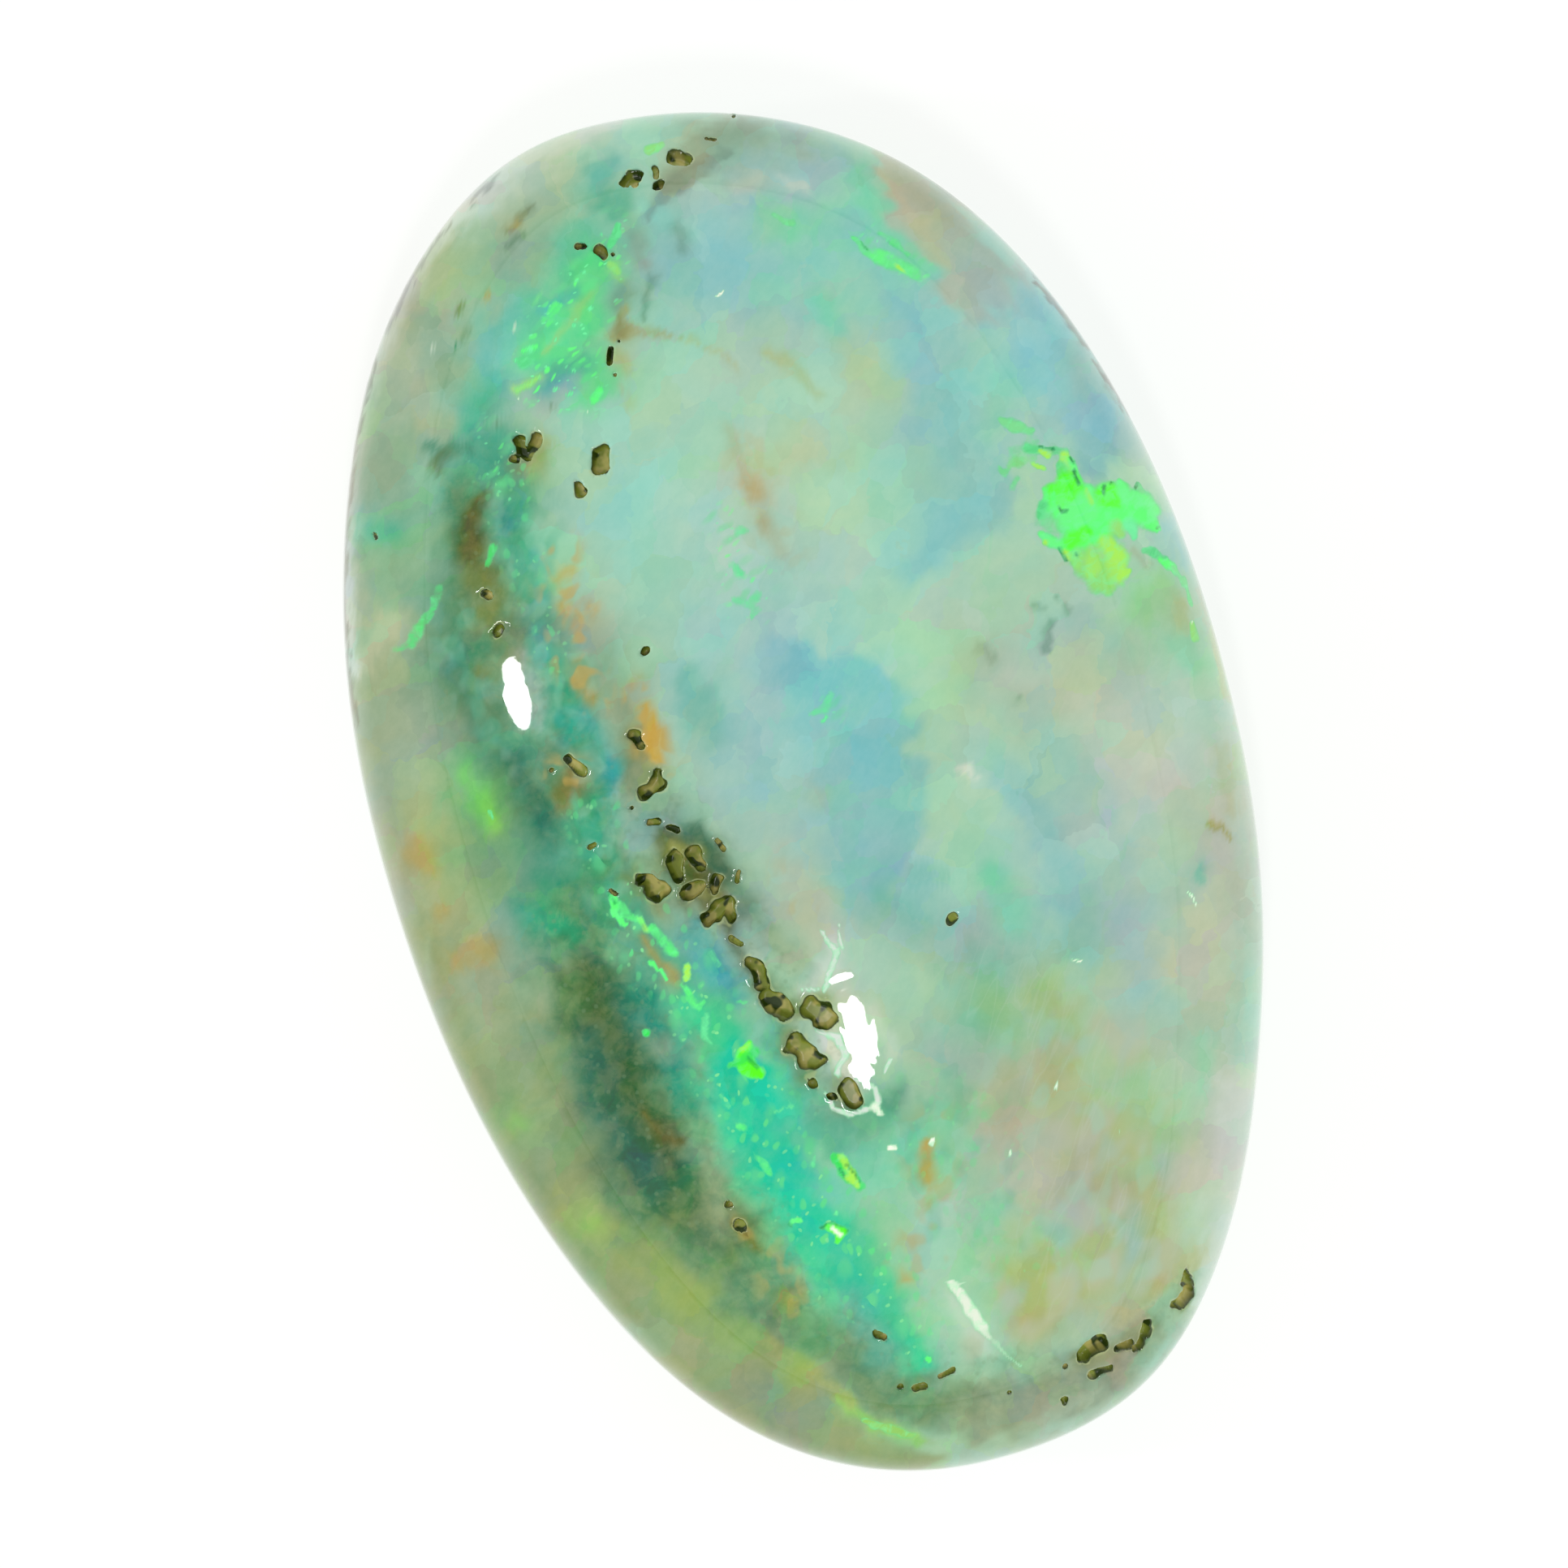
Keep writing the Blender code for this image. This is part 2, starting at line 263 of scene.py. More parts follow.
# The clouds of colour, from the first laid to the last. Each has its ink, the softness of its edge,
# or of its left and right edges, its strength, and its middle line as points with the half width there.
CLOUDS = (
    # the milky body, from the top down
    ("milk", 0.9, 0.9, [(-0.5, 5.6, 1.3), (0.4, 3.2, 1.2)]),
    ("ice", 0.9, 0.9, [(-0.4, 2.2, 0.9), (-0.7, 1.0, 0.8), (-0.5, 0.2, 0.6)]),
    ("blue", 0.9, 0.9, [(0.3, 7.6, 0.6), (1.4, 7.2, 0.9), (2.0, 6.5, 0.4)]),
    ("lilac", 0.9, 0.6, [(1.6, 8.5, 0.4), (2.3, 8.2, 0.4)]),
    ("mint", 0.9, 0.8, [(1.7, 7.9, 0.3), (2.6, 7.6, 0.3), (3.2, 7.6, 0.3)]),
    ("blue", 0.9, 0.8, [(2.9, 7.4, 0.3), (3.4, 6.3, 0.6)]),
    ("blue", 0.9, 0.9, [(3.5, 6.2, 0.7), (3.2, 5.2, 0.8), (3.3, 4.4, 0.6)]),
    ("lilac", 0.9, 0.5, [(3.0, 5.3, 0.4)]),
    ("aqua", 0.9, 0.8, [(2.2, 6.8, 0.5), (2.5, 6.2, 0.4)]),
    ("aqua", 0.9, 0.8, [(2.2, 3.8, 0.5), (2.9, 3.3, 0.5)]),
    ("cream", 0.9, 0.9, [(1.0, 4.8, 0.6), (2.0, 5.3, 0.6)]),
    ("cream_tan", 0.9, 0.7, [(2.2, 5.8, 0.4), (2.4, 5.2, 0.3)]),
    ("cream_tan", 0.9, 0.8, [(0.5, 4.5, 0.3), (1.2, 4.6, 0.3), (1.6, 4.2, 0.3)]),
    ("cream", 0.9, 0.9, [(1.3, 3.6, 0.5), (1.3, 2.7, 0.5)]),
    ("cream", 0.7, 0.9, [(2.2, 1.9, 0.35), (2.2, 1.0, 0.35), (2.15, 0.2, 0.3)]),
    ("pink_grey", 0.9, 0.6, [(5.0, -1.2, 0.6), (5.4, -2.4, 0.4), (5.5, -3.2, 0.3)]),
    ("aqua", 0.8, 0.6, [(3.3, 0.0, 0.25), (3.6, -0.8, 0.25)]),
    ("ice", 0.9, 0.8, [(-0.1, 1.8, 0.5), (-0.1, 0.8, 0.6), (0.0, -0.6, 0.5)]),
    ("window", 0.9, 0.5, [(0.2, 1.6, 0.45), (0.2, 0.4, 0.5), (0.3, -0.9, 0.4)]),
    ("window", (0.15, 0.8), 1.0, [
        (0.25, 1.95, 0.25), (0.55, 1.55, 0.48), (0.88, 1.05, 0.66), (1.0, 0.4, 0.75), (0.92, -0.3, 0.72),
        (0.7, -0.9, 0.6), (0.5, -1.45, 0.4)]),
    ("lilac", 0.8, 0.6, [(0.2, -0.8, 0.4), (0.8, -1.2, 0.4)]),
    ("ochre", 0.9, 0.4, [(0.0, -0.1, 0.2)]),
    ("teal_pale", 0.5, 0.8, [(-1.15, 1.75, 0.28), (-1.2, 1.3, 0.35)]),
    ("pink_grey", 0.8, 0.6, [(-0.5, -1.0, 0.3), (-0.4, -1.8, 0.35)]),
    ("teal_pale", 0.5, 0.6, [(1.1, -1.6, 0.12), (1.45, -1.65, 0.14)]),
    ("blue", 0.6, 0.8, [(2.75, -0.6, 0.2), (2.95, -1.4, 0.3), (3.1, -2.4, 0.3)]),
    ("milk", 0.3, 0.8, [(2.3, -0.6, 0.15), (2.55, -1.2, 0.2), (2.7, -1.8, 0.25)]),
    ("lilac", 0.9, 0.6, [(3.5, -2.6, 0.4), (3.9, -3.9, 0.5)]),
    ("mauve", 0.9, 0.6, [(1.3, -2.7, 0.4), (0.9, -2.3, 0.3)]),
    ("mint", 0.8, 0.9, [(2.15, -1.9, 0.2), (2.3, -2.5, 0.25)]),
    ("teal_pale", 0.9, 0.9, [(0.5, -1.8, 0.3), (1.8, -3.2, 0.4), (1.3, -4.0, 0.5), (1.0, -5.0, 0.45)]),
    ("teal_pale", 0.8, 0.7, [(2.9, -3.2, 0.3), (3.2, -2.7, 0.3)]),
    ("teal_pale", 0.8, 0.5, [(4.9, -2.7, 0.2), (4.6, -3.0, 0.2)]),
    ("pink_grey", 0.9, 0.5, [(0.4, -3.8, 0.35), (0.6, -4.2, 0.3)]),
    # the right flank and the rim
    ("mint", 0.8, 0.9, [(3.0, 8.2, 0.2), (3.25, 7.5, 0.2), (3.6, 6.6, 0.16)]),
    ("tan", (0.25, 0.2), 1.0, [(3.55, 8.25, 0.3), (3.9, 7.5, 0.48), (4.2, 6.8, 0.52), (4.42, 6.1, 0.5)]),
    ("olive_beige", 0.8, 0.5, [(3.7, 8.1, 0.2), (4.0, 7.4, 0.3)]),
    ("tan_edge", 0.8, 0.8, [(3.32, 8.2, 0.08), (3.5, 7.8, 0.1), (3.75, 7.1, 0.12), (3.9, 6.7, 0.12)]),
    ("mauve", 0.8, 0.4, [(4.3, 6.3, 0.3), (4.5, 5.9, 0.2)]),
    ("lilac", 0.8, 0.5, [(1.4, 8.5, 0.3), (2.1, 8.3, 0.35), (2.7, 8.5, 0.25)]),
    ("rim", 0.9, 0.5, [(1.35, 8.5, 0.12), (1.6, 8.6, 0.1)]),
    ("rim", 0.9, 0.5, [(1.95, 8.45, 0.08), (2.25, 8.25, 0.08)]),
    ("mint", 0.8, 0.8, [(1.65, 8.1, 0.15), (1.9, 7.7, 0.15)]),
    ("mint", 0.8, 0.7, [(2.05, 6.6, 0.2), (2.1, 6.2, 0.15)]),
    ("mint", 0.9, 0.7, [(3.25, 7.1, 0.16), (3.5, 6.6, 0.14)]),
    ("sage_pale", 0.9, 0.9, [(4.9, -3.4, 0.6), (4.5, -5.2, 0.7), (3.9, -6.8, 0.6)]),
    ("aqua", 0.8, 0.6, [(5.3, -4.4, 0.2), (5.0, -5.4, 0.25)]),
    ("mint", 0.8, 0.7, [(4.4, -5.0, 0.12), (4.2, -5.6, 0.12)]),
    ("ochre", 0.7, 0.5, [(5.8, -1.2, 0.15), (5.7, -2.0, 0.12)]),
    # the lower right
    ("pink_grey", 0.8, 0.8, [(1.4, -5.1, 0.4), (1.9, -5.6, 0.5), (1.8, -6.3, 0.5)]),
    ("pink_grey", 0.8, 0.7, [(3.3, -4.5, 0.3), (3.8, -4.6, 0.3)]),
    ("ochre", 0.7, 0.9, [(2.3, -3.8, 0.28), (2.5, -4.3, 0.25), (2.5, -4.8, 0.18)]),
    ("olive", 0.7, 0.6, [(2.2, -4.6, 0.14), (2.1, -5.1, 0.1)]),
    ("ochre", 0.7, 0.6, [(3.4, -4.95, 0.15)]),
    ("ochre", 0.7, 0.7, [(2.1, -6.1, 0.2), (2.7, -6.8, 0.3)]),
    ("ochre", 0.7, 1.0, [(1.0, -8.2, 0.25), (1.1, -7.5, 0.38), (2.0, -7.3, 0.28)]),
    ("ochre", 0.7, 0.9, [(3.2, -7.0, 0.25), (2.9, -7.5, 0.3), (3.3, -7.9, 0.3)]),
    ("ochre", 0.7, 0.8, [(2.7, -8.2, 0.2), (2.2, -8.4, 0.2)]),
    ("orange", 0.7, 0.6, [(0.9, -8.1, 0.16)]),
    ("orange", 0.7, 0.5, [(2.85, -8.15, 0.15)]),
    ("mint", 0.9, 0.6, [(3.2, -5.6, 0.4), (3.5, -5.9, 0.4)]),
    ("seam_green", 0.9, 0.5, [(0.6, -6.7, 0.45), (0.2, -5.2, 0.5), (-0.3, -5.6, 0.5)]),
    ("ice", 0.7, 0.7, [(1.7, -6.8, 0.25), (1.9, -7.1, 0.15)]),
    ("ice", 0.7, 0.7, [(2.5, -7.3, 0.22), (2.1, -8.1, 0.2)]),
    ("aqua", 0.9, 0.8, [(0.1, -7.7, 0.4), (0.8, -8.8, 0.25)]),
    ("milk", 0.8, 0.7, [(0.2, -6.3, 0.3), (0.4, -6.0, 0.2)]),
    ("mint", 0.8, 0.8, [(0.7, -8.7, 0.2)]),
    ("pink_grey", 0.7, 0.7, [(0.05, -8.3, 0.2)]),
    ("ice", 0.8, 0.6, [(3.0, -8.9, 0.3), (2.2, -9.4, 0.2)]),
    # round the great flash
    ("sky", 0.9, 0.9, [(3.3, 4.7, 0.5), (3.2, 3.8, 0.6), (3.0, 3.3, 0.4)]),
    ("mint", 0.9, 0.5, [(4.2, 4.8, 0.25), (3.9, 4.2, 0.2)]),
    ("sky", 0.9, 0.9, [(4.9, 4.9, 0.5), (5.0, 4.3, 0.4)]),
    ("blue", 0.9, 0.9, [(5.3, 5.7, 0.4), (5.5, 5.0, 0.3)]),
    ("slate_grey", 0.9, 0.8, [(5.4, 4.7, 0.25), (5.2, 4.4, 0.2)]),
    ("slate", 0.8, 0.9, [(5.5, 4.1, 0.3), (5.2, 3.6, 0.35), (5.05, 3.25, 0.2)]),
    ("blue", (0.8, 0.4), 0.9, [(2.2, 2.5, 0.15), (2.9, 2.85, 0.25), (3.5, 3.1, 0.35), (3.8, 3.6, 0.2)]),
    ("cream", 0.8, 0.9, [(3.6, 2.5, 0.5), (4.0, 2.8, 0.3), (4.2, 3.4, 0.2)]),
    ("milk", 0.9, 0.9, [(3.2, 1.9, 0.5), (3.8, 1.9, 0.5), (3.4, 1.4, 0.3)]),
    ("ash", 0.9, 0.7, [(3.0, 0.8, 0.5), (3.5, 0.3, 0.6), (4.6, 0.5, 0.5)]),
    ("cream_grey", 0.9, 0.8, [(3.4, 0.6, 0.4), (4.4, 0.4, 0.6), (4.6, -0.6, 0.8), (4.6, -1.4, 0.8)]),
    ("pink_grey", 0.9, 0.5, [(3.4, 0.4, 0.4), (4.4, 0.5, 0.5)]),
    ("slate_grey", 0.9, 0.4, [(4.4, 1.3, 0.25), (4.7, 0.9, 0.2)]),
    ("cream", 0.9, 0.7, [(5.6, 3.2, 0.2), (6.0, 2.9, 0.2)]),
    ("sky", 0.8, 0.8, [(6.0, 2.2, 0.16), (6.05, 1.6, 0.12)]),
    ("sheen", 0.9, 0.6, [(5.3, 1.2, 0.3), (5.6, 1.4, 0.2)]),
    ("ochre", 0.8, 0.6, [(5.75, 1.1, 0.14), (5.7, 0.8, 0.14)]),
    ("mint", 0.9, 0.6, [(5.5, 0.5, 0.3), (5.8, 0.2, 0.2)]),
    ("dusk", 0.6, 0.4, [(3.75, 1.62, 0.07), (3.9, 1.55, 0.05)]),
    ("dusk", 0.6, 0.4, [(4.12, 1.62, 0.03), (4.2, 1.4, 0.04)]),
    ("dusk", (0.6, 0.3), 0.5, [(3.76, 0.96, 0.07), (3.85, 1.15, 0.08), (3.95, 1.3, 0.05)]),
    ("dusk", 0.7, 0.5, [(3.2, 0.38, 0.05)]),
    ("stone_grey", 0.7, 0.6, [(2.9, 1.2, 0.1), (3.0, 1.05, 0.08)]),
    ("ash", 0.8, 0.7, [(5.35, 2.0, 0.07), (5.5, 1.75, 0.06)]),
    ("mauve", 0.6, 0.8, [(5.65, 2.04, 0.035)]),
    ("tan_edge", 0.6, 0.6, [(6.14, 1.2, 0.06), (6.14, 0.4, 0.06), (6.08, -0.4, 0.05)]),
    # thin dark lines of painted shade along the right rim
    ("shade_grey", 0.4, 0.8, [(5.6, 5.02, 0.015), (5.66, 4.85, 0.025)]),
    ("shade_grey", 0.4, 0.9, [(5.66, 4.55, 0.02), (5.74, 4.38, 0.04), (5.82, 4.2, 0.03), (5.9, 3.92, 0.02)]),
    # the upper left
    ("sage", 0.7, 1.0, [(-5.9, 3.4, 0.5), (-4.9, 6.6, 0.9), (-3.6, 8.4, 1.2), (-1.9, 9.3, 0.9)]),
    ("sage", 0.7, 1.0, [(-5.5, 3.2, 0.8), (-5.6, 0.5, 1.0), (-5.4, -2.0, 1.0)]),
    ("sage_green", 0.8, 0.9, [(-4.4, 6.2, 0.5), (-4.9, 4.8, 0.4), (-4.9, 2.6, 0.5), (-4.7, 0.4, 0.5)]),
    ("teal_blue", 0.8, 0.7, [(-5.1, 5.3, 0.25)]),
    ("teal", 0.8, 0.8, [(-4.75, 5.2, 0.22)]),
    ("stone_grey", 0.8, 0.8, [(0.4, 8.8, 0.2), (1.0, 9.2, 0.25), (1.7, 9.3, 0.2)]),
    ("stone_grey", 0.8, 0.5, [(1.4, 8.8, 0.3), (2.2, 8.9, 0.3)]),
    ("sage_pale", 0.9, 0.9, [(-2.2, 9.4, 0.25), (-1.2, 9.6, 0.3)]),
    ("milk", 0.9, 0.6, [(-0.7, 9.6, 0.25), (0.2, 9.6, 0.2)]),
    ("olive_beige", 0.8, 0.9, [(-3.9, 7.9, 0.25), (-3.3, 8.3, 0.25), (-2.8, 8.75, 0.25)]),
    ("tan_edge", 0.8, 0.5, [(-4.0, 7.6, 0.2), (-3.9, 7.0, 0.2)]),
    ("stone_grey", 0.9, 0.8, [(-2.3, 8.6, 0.3), (-2.2, 8.2, 0.3), (-1.6, 8.4, 0.3)]),
    ("stone_grey", 0.9, 0.6, [(-3.2, 7.7, 0.3), (-3.5, 7.1, 0.3), (-3.3, 6.8, 0.25)]),
    ("ash", 0.8, 0.6, [(-2.6, 8.0, 0.2)]),
    ("teal_blue", 0.9, 0.9, [(-2.2, 7.6, 0.3), (-2.6, 7.3, 0.4), (-2.7, 6.8, 0.35)]),
    ("slate", 0.9, 0.5, [(-2.6, 7.2, 0.25)]),
    ("teal_pale", 0.9, 0.9, [(-1.0, 8.4, 0.3), (-1.5, 8.0, 0.3), (-2.0, 7.7, 0.25)]),
    ("teal", 0.8, 0.9, [(-3.0, 6.5, 0.3), (-3.3, 6.2, 0.2), (-2.9, 5.9, 0.3), (-3.4, 5.6, 0.35)]),
    ("teal", 0.8, 0.9, [(-2.9, 5.5, 0.4), (-2.75, 5.0, 0.35)]),
    ("olive_beige", 0.7, 0.8, [(-3.85, 6.5, 0.22), (-3.6, 6.4, 0.18)]),
    ("dusk", 0.7, 0.8, [(-3.55, 6.0, 0.12), (-3.3, 5.95, 0.08)]),
    ("moss", 0.7, 0.9, [(-3.88, 5.8, 0.05), (-3.8, 5.98, 0.07)]),
    ("dusk", 0.7, 0.8, [(-3.88, 6.15, 0.09), (-3.65, 6.08, 0.1)]),
    ("teal", 0.9, 0.9, [(-0.35, 8.7, 0.24), (-0.6, 8.85, 0.24)]),
    ("teal_blue", 0.9, 0.8, [(-0.6, 9.15, 0.2), (-0.3, 9.3, 0.14)]),
    ("teal", 0.9, 0.8, [(-0.9, 8.0, 0.25), (-1.3, 7.75, 0.3), (-1.5, 7.4, 0.3)]),
    ("glow", 0.9, 0.75, [(-1.0, 7.9, 0.3), (-1.3, 7.4, 0.4), (-1.7, 6.95, 0.42), (-1.3, 6.5, 0.25)]),
    ("glow", 0.8, 0.8, [(-1.0, 7.95, 0.16), (-1.05, 7.4, 0.2), (-1.2, 7.15, 0.25)]),
    ("glow", 0.8, 0.8, [(-1.7, 7.35, 0.16), (-2.2, 6.95, 0.2), (-1.7, 6.9, 0.22)]),
    ("teal", 0.8, 0.8, [(-1.4, 6.75, 0.16), (-1.9, 6.6, 0.16)]),
    ("glow", 0.8, 0.7, [(-1.5, 6.15, 0.16), (-1.1, 6.4, 0.16), (-1.15, 6.7, 0.12)]),
    ("seam_blue", 0.8, 0.6, [(-2.0, 6.45, 0.14), (-1.7, 6.48, 0.12)]),
    ("mauve", 0.8, 0.4, [(-1.6, 6.5, 0.08), (-2.1, 6.25, 0.14)]),
    ("seam_blue", 0.8, 0.5, [(-1.8, 7.55, 0.08), (-1.3, 7.65, 0.08)]),
    ("sheen", 0.7, 0.7, [(-1.9, 7.0, 0.04), (-1.4, 7.35, 0.06), (-1.0, 7.62, 0.05)]),
    ("sheen", 0.7, 0.6, [(-2.0, 6.95, 0.03), (-1.7, 7.1, 0.05)]),
    ("glow_yellow", 0.7, 0.8, [(-2.45, 6.57, 0.05), (-2.1, 6.66, 0.05)]),
    ("glow_yellow", 0.8, 0.6, [(-0.65, 7.9, 0.07), (-0.62, 7.7, 0.07)]),
    ("grey_green", 0.9, 0.6, [(-0.6, 7.5, 0.16), (-0.75, 7.35, 0.1)]),
    ("dusk", 0.8, 0.5, [(-0.42, 7.08, 0.04), (-0.3, 7.35, 0.06), (-0.15, 7.6, 0.05)]),
    ("stone_grey", 0.9, 0.7, [(-0.3, 8.2, 0.16), (-0.25, 7.8, 0.12)]),
    ("aqua", 0.8, 0.7, [(0.0, 8.55, 0.12), (0.3, 8.2, 0.16), (0.5, 8.0, 0.12)]),
    ("dusk", 0.8, 0.4, [(0.35, 8.15, 0.1), (0.35, 7.8, 0.08)]),
    ("stone_grey", 0.9, 0.7, [(1.1, 9.3, 0.2), (1.8, 9.1, 0.2)]),
    ("shade_grey", (0.5, 0.25), 0.4, [
        (0.0, 8.42, 0.06), (0.35, 8.72, 0.14), (0.75, 8.88, 0.14), (1.3, 9.0, 0.1)]),
    ("ochre_deep", 0.7, 0.9, [(-0.68, 7.22, 0.07), (-0.78, 7.0, 0.14), (-0.95, 6.92, 0.06)]),
    ("olive", 0.8, 0.5, [(-0.75, 7.18, 0.05), (-0.8, 6.98, 0.08)]),
    ("ochre_deep", 0.7, 0.6, [
        (-0.65, 6.95, 0.06), (-0.4, 6.85, 0.06), (-0.2, 6.72, 0.06), (0.0, 6.66, 0.03)]),
    ("ochre", 0.7, 0.4, [(0.1, 6.6, 0.03), (0.35, 6.4, 0.035), (0.5, 6.2, 0.05), (0.65, 5.95, 0.03)]),
    ("ochre", 0.8, 0.7, [(-0.95, 6.7, 0.1), (-0.85, 6.45, 0.12)]),
    ("ochre", 0.8, 0.4, [(-1.0, 6.2, 0.05), (-0.95, 5.9, 0.05)]),
    ("smudge", 0.7, 0.8, [(-1.96, 8.84, 0.06), (-1.78, 8.95, 0.05), (-1.55, 9.03, 0.04)]),
    ("rust", 0.7, 0.5, [(-1.9, 8.88, 0.05), (-1.8, 8.92, 0.04)]),
    ("grey_green", 0.7, 0.7, [(-2.08, 8.6, 0.04), (-1.8, 8.72, 0.05)]),
    ("moss", 0.5, 0.9, [(-2.93, 7.83, 0.03), (-2.92, 7.92, 0.05), (-2.85, 8.0, 0.03)]),
    ("rust", 0.6, 0.7, [(-2.5, 7.98, 0.05), (-2.46, 8.02, 0.03)]),
    ("leaf_dark", 0.5, 0.8, [(-3.12, 7.38, 0.035), (-3.06, 7.45, 0.03)]),
    ("dusk", 0.7, 0.6, [(-3.0, 7.52, 0.06), (-2.92, 7.6, 0.05)]),
    ("glow_pale", 0.5, 0.8, [(-1.9, 7.66, 0.025), (-1.8, 7.8, 0.03)]),
    ("cream_spot", 0.4, 0.7, [(-2.28, 7.38, 0.02), (-2.2, 7.44, 0.02)]),
    ("cream_spot", 0.4, 0.6, [(-3.43, 7.47, 0.03)]),
    ("dusk", 0.5, 0.7, [(-2.8, 6.2, 0.03)]),
    ("dusk", 0.5, 0.6, [(-2.02, 6.2, 0.03)]),
    # the dark band and the seam
    ("dusk", 0.8, 1.0, [(-3.7, 5.2, 0.4), (-4.0, 4.2, 0.45), (-4.2, 2.8, 0.55), (-4.0, 1.2, 0.5)]),
    ("dusk", 0.8, 1.0, [(-3.9, 1.2, 0.5), (-3.6, 0.6, 0.45), (-3.2, 0.4, 0.4)]),
    ("grey_green", 0.8, 0.8, [(-3.5, 4.1, 0.3), (-3.5, 3.2, 0.35)]),
    ("teal", 0.8, 0.9, [(-3.1, 4.6, 0.3), (-2.9, 3.4, 0.2), (-2.9, 2.0, 0.22)]),
    ("deep_teal", 0.7, 0.8, [(-3.0, 3.3, 0.16), (-3.0, 2.6, 0.15)]),
    ("stone_grey", 0.9, 0.9, [(-2.4, 2.9, 0.4), (-2.3, 1.8, 0.4), (-2.2, 0.2, 0.35)]),
    ("teal", 0.8, 1.0, [(-3.1, 0.6, 0.3), (-3.2, -0.3, 0.45), (-4.0, -0.6, 0.35)]),
    ("seam_blue", 0.7, 0.7, [(-2.65, 1.1, 0.12), (-2.8, 0.7, 0.12)]),
    ("potch", 0.5, 1.0, [(-5.8, -0.6, 0.5), (-5.5, -3.0, 0.9), (-4.8, -5.6, 1.0), (-3.3, -8.0, 1.0)]),
    ("potch", 0.5, 1.0, [(-3.4, -7.8, 0.9), (-2.2, -9.0, 0.7), (-1.5, -9.8, 0.5)]),
    ("potch_green", 0.9, 0.7, [(-5.3, -3.4, 0.4), (-4.7, -4.2, 0.4)]),
    ("potch_yellow", 0.8, 0.9, [
        (-4.9, -4.9, 0.25), (-3.9, -6.3, 0.25), (-3.1, -7.2, 0.3), (-2.4, -8.0, 0.2)]),
    ("potch_blue", 0.9, 0.8, [(-2.9, -8.3, 0.3)]),
    ("grey_green", 0.7, 1.0, [(-3.0, -6.0, 0.45), (-2.0, -7.4, 0.5), (-1.1, -8.6, 0.45), (0.2, -9.3, 0.35)]),
    ("stone_grey", 0.8, 0.9, [(-0.3, -9.3, 0.3), (1.4, -9.2, 0.35), (2.6, -8.8, 0.3)]),
    ("boundary", 0.8, 0.8, [(-2.0, -8.5, 0.06), (-1.6, -8.95, 0.1), (-1.1, -9.35, 0.08)]),
    ("potch_yellow", 0.8, 0.7, [(-3.2, -6.9, 0.08), (-2.4, -7.8, 0.1), (-1.8, -8.6, 0.08)]),
    ("grey_green", 0.7, 1.0, [(-3.6, -0.8, 0.5), (-3.8, -3.0, 0.9), (-3.3, -5.0, 0.9), (-2.6, -6.6, 0.6)]),
    ("dusk", 0.8, 0.7, [(-3.9, -0.9, 0.35), (-4.1, -2.0, 0.5), (-4.1, -3.4, 0.6)]),
    ("dark", 0.85, 1.0, [(-3.65, -1.3, 0.34), (-3.8, -2.6, 0.56), (-3.6, -4.2, 0.6), (-3.15, -5.2, 0.45)]),
    ("dark_teal", 0.8, 0.8, [(-4.1, -2.4, 0.2), (-4.1, -3.5, 0.25), (-3.4, -4.9, 0.3)]),
    ("band_green", 0.8, 0.6, [(-3.5, -1.7, 0.2), (-3.4, -2.6, 0.12)]),
    ("band_green", 0.8, 0.5, [(-4.4, -4.4, 0.2), (-4.1, -5.2, 0.3)]),
    ("band_brown", 0.8, 0.5, [(-3.3, -4.6, 0.16), (-3.6, -5.4, 0.2), (-2.9, -5.9, 0.25)]),
    ("teal", 0.8, 0.4, [(-4.3, -0.7, 0.3), (-4.1, -1.2, 0.2)]),
    ("deep_teal", 0.7, 0.9, [(-3.1, -2.1, 0.25), (-2.95, -2.8, 0.2), (-2.85, -3.8, 0.25)]),
    ("teal", 0.7, 1.0, [(-3.0, -0.6, 0.3), (-2.6, -1.6, 0.35), (-2.3, -2.6, 0.4)]),
    ("seam_blue", 0.7, 0.8, [(-2.2, -1.5, 0.2), (-2.0, -2.1, 0.2), (-1.8, -2.6, 0.15)]),
    ("teal", 0.7, 0.9, [(-1.4, -3.2, 0.2), (-1.3, -4.3, 0.3), (-0.9, -4.9, 0.3), (-0.3, -4.6, 0.3)]),
    ("seam_green", 0.6, 1.0, [(-2.4, -2.4, 0.3), (-2.1, -3.6, 0.45), (-1.9, -5.0, 0.55), (-1.5, -6.2, 0.5)]),
    ("seam_green", 0.7, 1.0, [(-1.5, -6.2, 0.45), (-1.1, -7.1, 0.4), (-0.75, -8.2, 0.22)]),
    ("turquoise", 0.7, 1.0, [(-2.1, -3.3, 0.2), (-1.95, -4.2, 0.42), (-1.75, -4.9, 0.36)]),
    ("turquoise", 0.8, 0.7, [(-2.1, -5.2, 0.2), (-1.5, -6.0, 0.3), (-1.3, -6.6, 0.25)]),
    ("lilac", 0.8, 0.4, [(-1.3, -5.6, 0.2)]),
    ("teal_blue", 0.8, 0.6, [(-1.4, -7.1, 0.25), (-1.2, -8.0, 0.25)]),
    ("stone_grey", 0.8, 0.6, [(-2.8, -4.6, 0.15), (-2.9, -5.6, 0.2)]),
    ("stone_grey", 0.5, 0.8, [(-3.0, -3.0, 0.2)]),
    ("mauve", 0.8, 0.6, [(-2.6, -0.1, 0.2), (-2.1, -0.1, 0.2)]),
    ("dusk", 0.7, 0.7, [(-1.75, -0.3, 0.2), (-1.5, -0.9, 0.2), (-1.2, -1.6, 0.2)]),
    # the darker stone left of the upper seam, and the green beside it
    ("sage_warm", 0.9, 0.75, [(-5.3, 3.6, 0.4), (-5.45, 2.0, 0.5), (-5.5, 0.2, 0.5), (-5.4, -1.6, 0.4)]),
